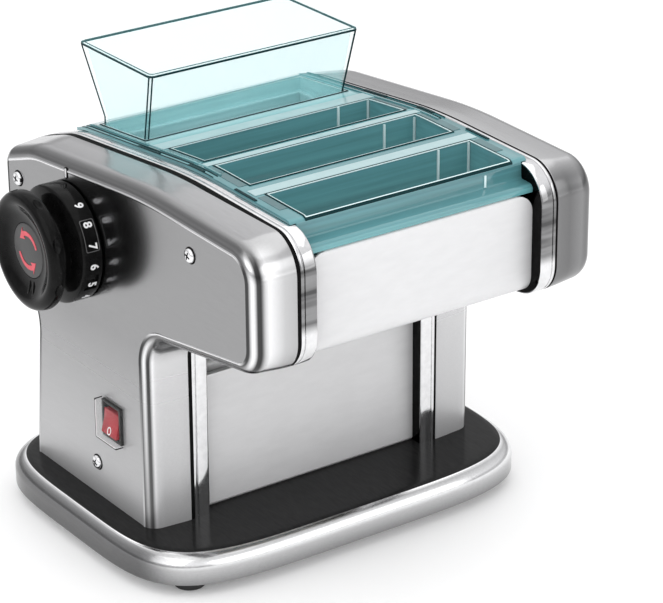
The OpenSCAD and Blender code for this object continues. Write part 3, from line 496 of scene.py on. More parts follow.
def finish_piece(ob, mat, body, replaces=(), angle=32, bevel=0.0, segments=3):
    me = ob.data
    bm = bmesh.new()
    bm.from_mesh(me)
    bmesh.ops.remove_doubles(bm, verts=bm.verts, dist=1e-6)
    bmesh.ops.dissolve_degenerate(bm, edges=bm.edges, dist=1e-6)
    bm.to_mesh(me)
    bm.free()
    if mat is not None:
        me.materials.clear()
        me.materials.append(mat)
    if bevel:
        md = ob.modifiers.new("bevel", "BEVEL")
        md.width, md.segments, md.limit_method = bevel / 1000, segments, "ANGLE"
        md.angle_limit, md.harden_normals = math.radians(40), False
        bpy.context.view_layer.update()
        made = bpy.data.meshes.new_from_object(ob.evaluated_get(bpy.context.evaluated_depsgraph_get()))
        ob.modifiers.clear()
        ob.data = me = made
    for p in me.polygons:
        p.use_smooth = True
    me.set_sharp_from_angle(angle=math.radians(angle))
    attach(ob, body)
    if replaces:
        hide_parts(*replaces)
    return ob


def mirrored(s, rings):
    return [[(s * x, y, z) for x, y, z in r] for r in rings]


# ------------------------------------------------------------------ side covers
def side_ring(P, x, d, more=0.0):
    """The outline inset by d at x. more is how much farther out it lies along the top, behind the nose."""
    return [(x + more * (p[1] > 200) * max(0.0, min(1.0, (p[0] + 40) / 60)), p[0], p[1]) for p in rounded(inset(P, d))]


SCREWS = [(124.9, 51), (8.6, 232), (208.7, 216.6)]
SW = (103, 88)


# painted reflections of the shoulder, as bright and dark bands by how far it has turned: -60 at the mouth, 0 where it
# starts to turn, 90 where it meets the flat face
TURN_TOP = [(-60, 0.50), (0, 0.44), (18, 0.38), (34, 0.20), (52, 0.13), (68, 0.20), (82, 0.32), (90, 0.80)]
TURN_NOSE = [(-60, 0.40), (-20, 0.52), (0, 0.80), (14, 0.55), (27, 0.05), (40, 0.06), (50, 0.70), (58, 0.92), (68, 0.50), (76, 0.06), (90, 0.06)]
TURN_POST = [(-60, 0.58), (22, 0.62), (33, 0.85), (44, 0.04), (52, 0.06), (62, 0.90), (70, 0.60), (77, 0.05), (90, 0.05)]
TURN_UNDER = [(-60, 0.22), (0, 0.22), (40, 0.12), (66, 0.20), (80, 0.10), (90, 0.70)]
TURN_RIGHT = [(-60, 0.20), (-25, 0.16), (0, 0.24), (30, 0.14), (70, 0.18), (82, 0.75), (90, 0.80)]


def shade_cover(ob, r):
    # painted reflections: each point of the shoulder gets a painted brightness from its turn and from whether it faces
    # up, forward or down; the flat face is flagged for the height-painted shade
    me = ob.data
    painted_light = me.attributes.new("painted_light", "FLOAT", "POINT")
    flat = me.attributes.new("flat", "FLOAT", "FACE")
    for v in me.vertices:
        x, z = abs(v.co.x * 1000 - SX), v.co.z * 1000
        n = math.hypot(v.normal.y, v.normal.z) or 1.0
        ny, nz = v.normal.y / n, v.normal.z / n
        if x < COVER_X - r:
            a = -60 * (1 - max(0.0, x - OPEN_X) / (COVER_X - r - OPEN_X))
        else:
            a = math.degrees(math.asin(min(1.0, (x - COVER_X + r) / r)))
        high = ease(z, 140, 172)
        front = ease(abs(ny), 0.30, 0.90)
        w = [(1 - front) * (nz > 0), front * high, front * (1 - high), (1 - front) * (nz <= 0)]
        c = [ladder(t, a) for t in (TURN_TOP, TURN_NOSE if v.co.x < 0 else TURN_RIGHT, TURN_POST, TURN_UNDER)]
        painted_light.data[v.index].value = sum(p * q for p, q in zip(w, c)) / (sum(w) or 1)
    for f in me.polygons:
        side = abs(f.normal.x) > 0.985 and abs(abs(f.center.x * 1000 - SX) - COVER_X) < 0.03
        flat.data[f.index].value = 1.0 if side else 0.0
        if side:
            for li in f.loop_indices:
                me.edges[me.loops[li].edge_index].use_edge_sharp = True


def side_cover(s, name):
    r, dr, face = 10.5, 1.5, 10.0
    e = OPEN_X + (2.1 if s < 0 else 0.7)          # the seam beside the trim is wider on the left
    prof = [(e, 0.9), (e + 0.1, 0.3), (e + 0.4, 0.05), (e + 0.9, 0.0), (104, 0.55), (COVER_X - r, dr)]
    prof += [(COVER_X - r + r * math.sin(math.radians(a)), dr + (face - dr) * (1 - math.cos(math.radians(a)))) for a in range(4, 80, 4)]
    # narrow raised bead where the shoulder meets the flat face
    prof += [(COVER_X - 0.12, face - 1.55), (COVER_X + 0.04, face - 1.2), (COVER_X + 0.36, face - 0.75), (COVER_X + 0.42, face - 0.45), (COVER_X + 0.36, face - 0.15), (COVER_X + 0.04, face + 0.25), (COVER_X, face + 0.6), (COVER_X, face + 1.2)]
    out = loft(name, mirrored(s, [side_ring(SIDE, x, d, 2.2 if s < 0 and x < 100 else 0.0) for x, d in prof]))
    q = r - 1.2
    inner = [(OPEN_X - 1, 1.25)] + [(COVER_X - 1.2 - q + q * math.sin(math.radians(a)), 1.2 + dr + (face - dr) * (1 - math.cos(math.radians(a)))) for a in range(0, 91, 15)]
    cuts = [loft("inner", mirrored(s, [side_ring(SIDE_LOW, x, d) for x, d in inner]))]
    for y, z in SCREWS:
        cuts.append(tube_x("hole", s * (COVER_X - 5), s * (COVER_X + 5), y, z, 2.3, 24))
    if s < 0:
        cuts.append(tube_x("hole", s * (COVER_X - 5), s * (COVER_X + 5), CAM_Y, SHEET_Z, 12, 48))
        cuts.append(box("hole", (s * COVER_X - 5, SW[0] - 10, SW[1] - 11.8), (s * COVER_X + 5, SW[0] + 10, SW[1] + 11.8)))
    combine(out, cuts)
    finish_piece(out, COVER if s < 0 else COVER_R, "chassis", [name.replace("_skin", "")], 32)
    shade_cover(out, r)
    return out


side_cover(-1, "left_side_cover_skin")
side_cover(1, "right_side_cover_skin")


def cover_seal(s, name):
    """Black strip round the mouth of a cover: painted shade, standing in for the dark gap beside the trim."""
    e = OPEN_X + (2.15 if s < 0 else 0.75)
    ob = loft(name, mirrored(s, [side_ring(SIDE, x, d, m) for x, d, m in ((OPEN_X - 0.05, 0.5, 0), (OPEN_X + 0.1, 0.1, 0), (e, 0.1, 2.2 if s < 0 else 0))]))
    combine(ob, [loft("inner", mirrored(s, [side_ring(SIDE_LOW, x, 3.2) for x in (OPEN_X - 1, e + 1)]))])
    finish_piece(ob, SHADE_BLACK, "chassis", (), 32)


cover_seal(-1, "left_cover_shade_gap")
cover_seal(1, "right_cover_shade_gap")

# ------------------------------------------------------------------ end frames
CUT_Y = (88, 39, -17)
ROLLS = [(y + 10.5, 198) for y in CUT_Y] + [(y - 10.5, 198) for y in CUT_Y]
RODS = [(-38.5, 183.5), (118, 232), (204, 186), (80, 44), (184, 44)]


def end_frame(s, name):
    prof = [(FRAME_X, 1.0), (FRAME_X + 0.2, 0.45), (FRAME_X + 0.7, 0.1), (FRAME_X + 1.4, 0.0), (OPEN_X - 3.7, 0.0), (OPEN_X - 3.3, 0.2), (OPEN_X - 3.1, 0.8), (OPEN_X - 2.7, 0.8),
            (OPEN_X - 2.5, 0.25), (OPEN_X - 2.0, 0.0), (OPEN_X - 1.0, 0.05), (OPEN_X - 0.5, 0.35), (OPEN_X - 0.2, 0.8), (OPEN_X - 0.1, 1.2)]
    out = loft(name, mirrored(s, [side_ring(SIDE, x, d) for x, d in prof]))
    ring = side_ring(SIDE_LOW, 0, 6)
    cuts = [prism("pocket", [(y, z) for _, y, z in ring], s * (FRAME_X + WEB_T), s * (OPEN_X + 2))]
    lo, hi = s * (FRAME_X - 2), s * OPEN_X
    cuts.append(tube_x("c", lo, hi, 175.2, SHEET_Z, 9, 64))
    window = box("c", (min(lo, hi), 131.9, SHEET_Z - 12.1), (max(lo, hi), 155.4, SHEET_Z + 12.1))
    if s > 0:
        combine(window, [tube_x("w", lo - 1, hi + 1, 126.1, 183, 8.4, 64)])
    cuts.append(window)
    cuts += [tube_x("c", lo, hi, y, z, 6.5, 40) for y, z in ROLLS]
    cuts += [tube_x("c", lo, hi, y, z, 3.05, 24) for y, z in RODS + SCREWS]
    for P in ([(92, 44), (113, 44), (113, 62), (92, 62)], [(137, 44), (166, 44), (163, 62), (137, 62)]):
        cuts.append(prism("c", rounded([(y, z, 5, 5, 0) for y, z in P]), lo, hi))
    if s < 0:
        cuts += [tube_x("c", lo, hi, CAM_Y, SHEET_Z + d, 2.55, 24) for d in (-26, 26)] + [tube_x("c", lo, hi, 110, 120, 7, 32)]
    else:
        cuts += [tube_x("c", lo, hi, y, z, r, 32) for y, z, r in ((126.1, 183, 7.02), (129, 139.33, 7.02), (131.5, 103.42, 9))]
        cuts += [tube_x("c", lo, hi, y, z, 3.0, 24) for y, z in ((74, 177.3), (53, 177.3), (20, 180.4), (2, 180.4))]
        cuts += [tube_x("c", lo, hi, y, z, 2.55, 24) for y, z in ((86, 134), (171, 128), (148, 229))]
    combine(out, cuts)
    return finish_piece(out, CHROME_L if s < 0 else CHROME_R, "chassis", [name.replace("_rim", "")], 32)


end_frame(-1, "left_end_frame_rim")
end_frame(1, "right_end_frame_rim")

# ------------------------------------------------------------------ sheet panels
W = FRAME_X - 0.1


def panel(name, line, t, mat, node, cuts=()):
    ob = prism(name, strip(polyline(line), t), -W, W)
    if cuts:
        combine(ob, list(cuts))
    return finish_piece(ob, mat, "chassis", [node], 32, 0.25, 2)


def panel_corner(s):
    """What is cut from the front panel's upper corner, so that the corner is round."""
    c, r = (70.4, 228.6), 11.5
    arc = [(c[0] + r * math.cos(math.radians(a)), c[1] + r * math.sin(math.radians(a))) for a in range(90, -1, -9)]
    P = [(s * x, z) for x, z in arc + [(84, 228.6), (84, 243), (70.4, 243)]]
    return loft("corner", [[(x, y, z) for x, z in P] for y in (-53, -36)])


panel("front_panel_sheet", [(-31.8, 173), (-49, 176.6, 12), (-49, 240.7, 2), (-42.6, 240.7)], -1.2, PANEL, "front_panel", [panel_corner(-1), panel_corner(1)])
panel("motor_panel_sheet", [(71.2, 28), (70, 29.6, 1), (70, 120.4, 4), (62.5, 121.6)], -1.2, PANEL, "motor_panel")
panel("delivery_chute_sheet", [(71.6, 116), (71.6, 126, 3), (185, 171)], -1.5, PANEL, "delivery_chute")
vents = [box("vent", (-66 + i * 9, 190, 92), (-61.5 + i * 9, 215, 112)) for i in range(8)]
hole = lathe("hole", [(8.05, 190), (8.05, 220)], lambda r, a, h: (60 + r * math.cos(a), h, 60 + r * math.sin(a)), 48)
panel("rear_panel_sheet", [(206.6, 28), (196.9, 125, 14), (226.9, 169.5, 12), (227, 232.4, 8), (202, 239.4)], 1.2, REAR, "rear_panel", vents + [hole, box("foot", (-FRAME_X, 190, 23), (FRAME_X, 220, 28))])

# ------------------------------------------------------------------ base tray
TRAY_HW, TRAY_Y0, TRAY_Y1 = 148.0, 8.0, 238.0


def tray_ring(z, d, n=216):
    a, b, cy, e = TRAY_HW - d, (TRAY_Y1 - TRAY_Y0) / 2 - d, (TRAY_Y0 + TRAY_Y1) / 2, 4.6
    out = []
    for i in range(n):
        t = 2 * math.pi * i / n
        c, s = math.cos(t), math.sin(t)
        out.append((a * math.copysign(abs(c) ** (2 / e), c), cy + b * math.copysign(abs(s) ** (2 / e), s), z))
    return out


def base_tray():
    top, r = 28.0, 10.0
    prof = [(8.0, 1.0), (8.0, 0.4), (8.5, 0.0), (18.0, 0.0)]
    prof += [(top - r + r * math.sin(math.radians(a)), r - r * math.cos(math.radians(a))) for a in (8, 16, 24, 32, 40, 48, 56, 63, 68, 69.5, 76, 83)]
    prof += [(top, 10.0), (top, 12.0), (top, 20.0)]
    out = loft("base_tray_shell", [tray_ring(z, d) for z, d in prof])
    inner = loft("inner", [tray_ring(z, d, 120) for z, d in [(6, 1.5), (18, 1.5)] + [(18 + 8.5 * math.sin(math.radians(a)), 1.5 + 8.5 - 8.5 * math.cos(math.radians(a))) for a in (22.5, 45, 67.5, 90)]])
    cuts = [inner]
    for x in (-86.5, 86.5):
        for y in (78, 184):
            cuts.append(lathe("c", [(2.6, 20), (2.6, 32)], lambda q, a, h, x=x, y=y: (x + q * math.cos(a), y + q * math.sin(a), h), 24))
    combine(out, cuts)
    finish_piece(out, TRAY, "chassis", ["base_tray"], 32)
    me = out.data
    # painted reflection: the flat top, inside its rolled rim, is flagged to be painted dark and glossy
    at = me.attributes.new("top", "FLOAT", "POINT")
    cx, cy = SX, (TRAY_Y0 + TRAY_Y1) / 2 + SY
    for i, v in enumerate(me.vertices):
        x, y = abs(v.co.x * 1000 - cx), abs(v.co.y * 1000 - cy)
        lo, hi = 0.0, 60.0          # inset of the ring that the point lies on
        for _ in range(20):
            d = (lo + hi) / 2
            if (x / (TRAY_HW - d)) ** 4.6 + (y / (115 - d)) ** 4.6 < 1:
                lo = d
            else:
                hi = d
        at.data[i].value = 1.0 if lo > 6.4 and v.co.z > 0.0268 else 0.0
    # painted light and shade on the wall: on the left half, walls facing left are painted darker than those facing the
    # front; the front has a painted bright band and the rolled rim a painted highlight
    painted_light = me.attributes.new("painted_light", "FLOAT", "POINT")
    for v in me.vertices:
        n = math.hypot(v.normal.x, v.normal.y) or 1.0
        front = ease(-v.normal.y / n, 0.25, 0.85) if v.normal.x < 0 else 1.0
        z = v.co.z * 1000
        side, ahead = ladder([(8, 0.13), (17, 0.15), (22, 0.16), (25, 0.19), (26.5, 0.34), (27.3, 0.9), (28, 0.9)], z), ladder([(8, 0.26), (13, 0.40), (18, 0.55), (22, 0.85), (25, 0.60), (26.4, 0.50), (27.3, 0.9), (28, 0.9)], z)
        painted_light.data[v.index].value = side + (ahead - side) * front


base_tray()

# ------------------------------------------------------------------ guard
GUARD_LINE = polyline([(-49, 241.2), (-49, 245.9, 3.2), (-38.0, 246.5, 1.0), (-37.8, 258.8, 4.5), (60, 260.6, 300), (134, 253.4, 400), (190, 247.9, 30), (200, 244.9)])
SLOTS = [(70, 107, 230, 74), (21, 58, 230, 74), (-36, 3, 230, 74), (134, 186, 224, 75.4)]


def guard():
    ob = prism("safety_guard_shell", strip(GUARD_LINE, -2), -86, 86)
    walls = []
    under = GUARD_LINE + [(200, 200), (-49, 200)]
    for y0, y1, z, hw in SLOTS:
        b = box("wall", (-hw - 1.6, y0 - 1.6, z), (hw + 1.6, y1 + 1.6, 262))
        keep = prism("keep", under, -90, 90)
        combine(b, [keep], "INTERSECT")
        walls.append(b)
    # long ribs that stiffen the two side rails
    for s in (-1, 1):
        rib = strip([(y, z + 0.9) for y, z in GUARD_LINE if -20 < y < 196], -1.6)
        walls.append(prism("rib", rib, min(s * 79.6, s * 81.0), max(s * 79.6, s * 81.0)))
    combine(ob, walls, "UNION")
    cuts = [box("c", (-hw, y0, z - 5), (hw, y1, 270)) for y0, y1, z, hw in SLOTS]
    for s in (-1, 1):
        a, b = sorted((s * (FRAME_X - 0.3), s * 100))
        cuts.append(box("c", (a, -60, 220), (b, -23, 256.7)))
    combine(ob, cuts)
    ledge = box("ledge", (-75.5, 133.9, 238), (75.5, 186.1, 239.6))
    combine(ledge, [box("c", (-73.4, 136, 237), (73.4, 184, 241))])
    combine(ob, [ledge], "UNION")
    finish_piece(ob, TEAL, "guard", ["safety_guard"], 32, 0.35, 2)
    # painted light and shade per face corner: upward faces dark, walls darker near the top, and the faces under the
    # hopper painted pale to lift their shade
    at = ob.data.attributes.new("up", "FLOAT", "CORNER")
    me = ob.data
    for f in me.polygons:
        for li in f.loop_indices:
            co = me.vertices[me.loops[li].vertex_index].co
            y, z = co.y * 1000 - SY, co.z * 1000
            if f.normal.z > 0.45:
                v = 0.06
            else:
                v = max(0.0, min(0.5, (253 - z) / 40))
            if 132.3 < y < 187.7 and abs(co.x * 1000 - SX) < 77.1:
                v = 0.95
            at.data[li].value = v
    # dark raised bead round each slot, its dark colour a painted shade line along the slot's edge
    beads, rims = [], []
    for y0, y1, z, hw in SLOTS:
        lip = prism("rim", strip(GUARD_LINE, 0.45), -86, 86)
        ring = box("ring", (-hw - 0.42, y0 - 0.42, 240), (hw + 0.42, y1 + 0.42, 264))
        combine(ring, [box("c", (-hw + 0.25, y0 + 0.25, 239), (hw - 0.25, y1 - 0.25, 265))])
        combine(lip, [ring], "INTERSECT")
        rims.append(lip)
        lip = prism("bead", strip(GUARD_LINE, 0.55), -86, 86)
        ring = box("ring", (-hw - 1.3, y0 - 1.3, 240), (hw + 1.3, y1 + 1.3, 264))
        combine(ring, [box("c", (-hw - 0.4, y0 - 0.4, 239), (hw + 0.4, y1 + 0.4, 265))])
        combine(lip, [ring], "INTERSECT")
        beads.append(lip)
    one = combine(beads[0], beads[1:], "UNION")
    one.name = one.data.name = "guard_slot_beads"
    finish_piece(one, TEAL_DARK, "guard", (), 32)
    # stops along the two rails, and the dark end pads
    rails = []
    for s, y0, y1 in [(s, *r) for s in (-1, 1) for r in ((103, 127), (53.5, 70), (-1.5, 20))]:
        lip = prism("pad", strip(GUARD_LINE, 0.7), min(s * 84.2, s * 86), max(s * 84.2, s * 86))
        combine(lip, [box("k", (-90, y0, 240), (90, y1, 266))], "INTERSECT")
        rails.append(lip)
    for s in (-1, 1):
        for a, b in ((82.4, 82.9), (85.6, 86)):
            lip = prism("line", strip([q for q in GUARD_LINE if -20 < q[0] < 195], 0.5), min(s * a, s * b), max(s * a, s * b))
            rails.append(lip)
    one = combine(rails[0], rails[1:], "UNION")
    one.name = one.data.name = "guard_rail_pads"
    finish_piece(one, TEAL_DARK, "guard", (), 32)
    # sunken panes between the slots and the rails
    panes = []
    for s in (-1, 1):
        for y0, y1, z, hw in SLOTS[:3]:
            lip = prism("pane", strip(GUARD_LINE, 0.25), min(s * 75.8, s * 81.6), max(s * 75.8, s * 81.6))
            combine(lip, [box("k", (-90, max(y0, -21) + 0.6, 240), (90, y1 - 0.6, 266))], "INTERSECT")
            panes.append(lip)
    one = combine(panes[0], panes[1:], "UNION")
    one.name = one.data.name = "guard_rail_panes"
    finish_piece(one, TEAL_DEEP, "guard", (), 32, 0.1, 1)
    # pale caps on the front half of each bar: painted light, the front half of each bar's top painted lighter than the
    # rear as if lit
    caps = []
    for y0, y1 in ((58.9, 65.6), (3.9, 13.4), (108.2, 121.5)):
        lip = prism("cap", strip(GUARD_LINE, 0.5), -81.4, 81.4)
        combine(lip, [box("k", (-90, y0 + 0.9, 240), (90, y1, 266))], "INTERSECT")
        caps.append(lip)
    one = combine(caps[0], caps[1:], "UNION")
    one.name = one.data.name = "guard_bar_caps"
    finish_piece(one, TEAL_PALE, "guard", (), 32, 0.12, 1)
    # painted highlights: the slots' inner rims, the ribs on their walls and the posts in their far corners, in pale
    # white to stand in for bright lines along the clear edges
    rims += [box("wall_rib", (49.3, y - 0.9, z0), (50.7, y, z1)) for y, z0, z1 in ((107, 232, 256), (58, 232, 259.2), (3, 234, 259.2))]
    rims.append(box("wall_rib", (53.3, -38.5, 247), (54.7, -37.7, 254.5)))
    for s in (-1, 1):
        rims += [box("post", tuple(min(s * a, s * b) if k == 0 else v for k, v in enumerate((0, y - 1.1, 232))), tuple(max(s * a, s * b) if k == 0 else v for k, v in enumerate((0, y - 0.1, z1)))) for y, z1 in ((107, 255.6), (58, 259), (3, 259)) for a, b in ((72.4, 73.6),)]
    one = combine(rims[0], rims[1:], "UNION")
    one.name = one.data.name = "guard_bright_lines"
    finish_piece(one, TEAL_WHITE, "guard", (), 32)


guard()


# ------------------------------------------------------------------ hopper
def rrect(x, y0, y1, z, r=4.0, k=6):
    pts = rounded([(-x, y0, r, k, 0), (x, y0, r, k, 0), (x, y1, r, k, 0), (-x, y1, r, k, 0)])
    return [(a, b, z) for a, b in pts]


def hopper():
    out = [(75, 134.4, 185.6, 239.65, 3), (75, 134.4, 185.6, 254.4, 3), (77.2, 123.9, 205.5, 297.0, 4), (77.9, 122.8, 207, 297.6, 4), (77.9, 122.8, 207, 299.2, 4)]
    ob = loft("dough_hopper_shell", [rrect(x, a, b, z, r) for x, a, b, z, r in out])
    t = 1.6
    inner = [(75 - t, 134.4 + t, 185.6 - t, 236, 1.6), (75 - t, 134.4 + t, 185.6 - t, 254.4, 1.6), (77.3 - t, 123.4 + t, 206.4 - t, 301, 2.6)]
    combine(ob, [loft("inner", [rrect(x, a, b, z, r) for x, a, b, z, r in inner])])
    finish_piece(ob, CYAN, "hopper", ["dough_hopper"], 32, 0.3, 2)
    # painted shade: dark rods along the moulded corner lines and the rim's edge, standing in for the dark lines these
    # edges show in the clear walls
    rods = []
    for sx in (-1, 1):
        for near in (True, False):
            for k in (0, 1):
                if not near and (sx > 0 or k == 1):
                    continue
                path = []
                for x, y0, y1, z in ((75, 134.4, 185.6, 240), (75, 134.4, 185.6, 254.4), (77.6, 123.2, 206.5, 297.4)):
                    y, d = (y0, 1) if near else (y1, -1)
                    path.append((sx * (x - (1.9 if k else 0.35)), y + d * (0.35 if k else 1.9), z))
                rods.append(loft("rod", [[(px + 0.5 * math.cos(2 * math.pi * j / 8), py + 0.5 * math.sin(2 * math.pi * j / 8), pz) for j in range(8)] for px, py, pz in path]))
    rim = loft("rim", [rrect(77.95, 122.75, 207.05, 297.1, 4), rrect(77.95, 122.75, 207.05, 298.3, 4)])
    combine(rim, [loft("c", [rrect(77.2, 123.5, 206.3, z, 3.4) for z in (297, 299)])])
    inner_rim = loft("rim2", [rrect(76.4, 124.5, 205.5, z, 3.0) for z in (298.7, 299.12)])
    combine(inner_rim, [loft("c", [rrect(75.9, 125.0, 205.0, z, 2.6) for z in (298, 300)])])
    combine(rim, rods + [inner_rim], "UNION")
    rim.name = rim.data.name = "hopper_edge_lines"
    finish_piece(rim, TEAL_DARK, "hopper", (), 32)


hopper()


# ------------------------------------------------------------------ knob
def knob_point(r, a, h):
    return (-(COVER_X + h), CAM_Y + r * math.cos(a), SHEET_Z + r * math.sin(a))


def knob():
    h, D, F = KNOB_H, 37.5, 38.0
    prof = [(5.05, 0.8), (11, 0.8), (11, 12), (33, 12), (33, 0.8), (D - 1, 0.8), (D - 0.3, 1.1), (D, 1.8), (D, 12.9), (D - 0.35, 14.1), (D - 1.4, 14.9),
            (31, 15.8), (27, 16.5), (24.6, 17.7), (23.4, 19.2), (23, 21), (23.3, 22.4), (24.6, 23.6), (27.4, 24.5), (31, 25.3), (F - 1.6, 26.4), (F - 0.4, 27.2), (F, 28.6),
            (F, 30.6), (F - 0.3, 32.6), (F - 1.3, 34.3), (F - 3, 35.4), (F - 5, 35.95), (F - 6.6, 35.9), (F - 8.4, 35.1), (F - 12, 32.9), (F - 15.5, 31.6), (19, 31.1), (17.8, 31.0), (17.6, 30.8),
            (17.6, h - 6.2), (9, h - 6.2), (9, 19.8), (5.05, 19.8)]
    n = 160
    rings = [[knob_point(r, 2 * math.pi * j / n, z) for j in range(n)] for r, z in prof]
    verts = [p for r in rings for p in r]
    m = len(rings)
    faces = [[i * n + j, i * n + (j + 1) % n, ((i + 1) % m) * n + (j + 1) % n, ((i + 1) % m) * n + j] for i in range(m) for j in range(n)]
    ob = raw("thickness_knob_body", verts, faces)
    # oval finger dimples round the rim of the front disc
    cuts = []
    for i in range(8):
        a = math.radians(22.5 + 45 * i)
        c = Vector((-(COVER_X + 31.2), CAM_Y + (F + 7.2) * math.cos(a), SHEET_Z + (F + 7.2) * math.sin(a)))
        bm = bmesh.new()
        bmesh.ops.create_uvsphere(bm, u_segments=32, v_segments=20, radius=1)
        vs = []
        for v in bm.verts:
            q = Vector((v.co.x * 4.2, v.co.y * 9.0, v.co.z * 9.0))
            vs.append(tuple(c + q))
        fs = [[v.index for v in f.verts] for f in bm.faces]
        bm.free()
        cuts.append(raw("dimple", vs, fs))
    # shallow grips in the dial's edge
    for i in range(2):
        a = math.radians(205 + 60 * i)
        a0 = a
        pts = []
        for rr, hh in ((D - 1.0, 3.2), (D + 2, 3.2), (D + 2, 11.6), (D - 1.0, 11.6)):
            pts.append((rr, hh))
        vs = [knob_point(rr, a0 + da, hh) for da in (-0.16, 0.16) for rr, hh in pts]
        cuts.append(raw("grip", vs, [[0, 1, 2, 3], [7, 6, 5, 4], [0, 4, 5, 1], [1, 5, 6, 2], [2, 6, 7, 3], [3, 7, 4, 0]]))
    combine(ob, cuts)
    finish_piece(ob, BLACK, "knob", ["thickness_knob"], 28)
    # two low ribs on the dish
    for k, a in enumerate((math.radians(256), math.radians(268))):
        vs = []
        for rr, hh in ((19.6, 30.6), (28.2, 33.2)):
            for da, up in ((-0.9, -0.6), (0.9, -0.6), (0.6, 0.9), (-0.6, 0.9)):
                ang = a + da / rr
                vs.append(knob_point(rr, ang, hh + up))
        rib = raw("knob_rib_%d" % (k + 1), vs, [[0, 1, 2, 3], [7, 6, 5, 4], [0, 4, 5, 1], [1, 5, 6, 2], [2, 6, 7, 3], [3, 7, 4, 0]])
        finish_piece(rib, BLACK, "knob", (), 32, 0.3, 2)
    # emblem disc with a rounded edge, and two plain turning arrows
    disc = lathe("knob_emblem_disc", [(17.4, h - 6.2), (17.4, h - 5.1), (17.1, h - 4.75), (16.6, h - 4.6)], knob_point, 96)
    finish_piece(disc, EMBLEM, "knob", ["knob_emblem"], 32)
    for k in range(2):
        start = math.radians(200 if k else 20)
        pts_o, pts_i = [], []
        for i in range(25):
            a = start + math.radians(98) * i / 24
            w = 1.8 + 1.4 * i / 24
            pts_o.append((10.9 + w / 2, a))
            pts_i.append((10.9 - w / 2, a))
        tip = start + math.radians(128)
        wide = start + math.radians(92)
        outline = pts_o + [(14.9, wide), (10.6, tip), (7.4, wide)] + pts_i[::-1]
        # angles run counter-clockwise as seen from outside, so the front of the machine is on the right
        lay = [[(-(COVER_X + hh), CAM_Y - r * math.cos(a), SHEET_Z + r * math.sin(a)) for r, a in outline] for hh in (h - 4.62, h - 4.35)]
        arrow = loft("turn_arrow_%d" % (k + 1), lay)
        finish_piece(arrow, RED_INK, "knob", (), 32)
    # numbers round the dial
    for num in range(1, 10):
        cu = bpy.data.curves.new("n", "FONT")
        cu.body, cu.size, cu.align_x, cu.align_y, cu.extrude, cu.offset = str(num), 7.8, "CENTER", "CENTER", 0.16, 0.20
        cu.resolution_u = 6
        t = bpy.data.objects.new("n", cu)
        scene.collection.objects.link(t)
        bpy.context.view_layer.update()
        me = bpy.data.meshes.new_from_object(t.evaluated_get(bpy.context.evaluated_depsgraph_get()))
        bpy.data.objects.remove(t)
        th = math.radians(35 + (9 - num) * 20.5)
        for v in me.vertices:
            a = th + v.co.x / D
            rr = D + 0.02 + v.co.z
            v.co = row((-(COVER_X + 7.0) + v.co.y, CAM_Y - rr * math.sin(a), SHEET_Z + rr * math.cos(a)))
        ob = bpy.data.objects.new("dial_number_%d" % num, me)
        scene.collection.objects.link(ob)
        finish_piece(ob, WHITE_INK_AND_HIGHLIGHT, "knob", (), 32)
    # shallow outline of the grip between two numbers, in lighter grey as a painted highlight along the grip's edge
    P = []
    for cx, cy, a0 in ((9.0, 10.6, 0), (-9.0, 10.6, 90), (-9.0, 3.4, 180), (9.0, 3.4, 270)):
        P += [(cx + 1.2 * math.cos(math.radians(a0 + k * 15)), cy + 1.2 * math.sin(math.radians(a0 + k * 15))) for k in range(7)]
        if a0 in (0, 180):
            P += [(cx * (1 - k / 12), P[-1][1]) for k in range(1, 24)]
    th, n = math.radians(35 + 1.5 * 20.5), len(P)
    vs, fs = [], []
    for dr in (-0.2, 0.14):
        for shrink in (0.0, 0.55):
            for u, v in P:
                u *= 1 - shrink / 10.2
                v -= math.copysign(shrink, v - 7)
                a, rr = th + u / D, D + dr
                vs.append((-(COVER_X + v), CAM_Y - rr * math.sin(a), SHEET_Z + rr * math.cos(a)))
    for a, b in ((0, 1), (1, 3), (3, 2), (2, 0)):
        fs += [[a * n + j, a * n + (j + 1) % n, b * n + (j + 1) % n, b * n + j] for j in range(n)]
    finish_piece(raw("dial_grip_outline", vs, fs), GRIP_EDGE_HIGHLIGHT, "knob", (), 32)


knob()


# index mark on the cover
def index_mark():
    def pill(name, w, hgt, x0, x1, mat):
        P = rounded([(148.2 - w, 239.2 - hgt / 2, w * 0.9, 6, 0), (148.2 + w, 239.2 - hgt / 2, w * 0.9, 6, 0), (148.2 + w, 239.2 + hgt / 2, w * 0.9, 6, 0), (148.2 - w, 239.2 + hgt / 2, w * 0.9, 6, 0)])
        ob = loft(name, [[(x, y, z) for y, z in P] for x in (-x0, -x1)])
        finish_piece(ob, mat, "chassis", (), 32)
    # the mark stands on the flat face just under its ridge
    # painted shadow: the dark rim round the white fill stands in for the shade of the engraved mark
    pill("index_mark_rim", 1.6, 7.2, COVER_X - 0.9, COVER_X + 0.46, SHADE_BLACK)
    pill("index_mark_fill", 0.95, 5.9, COVER_X - 0.8, COVER_X + 0.56, WHITE_INK_AND_HIGHLIGHT)


index_mark()


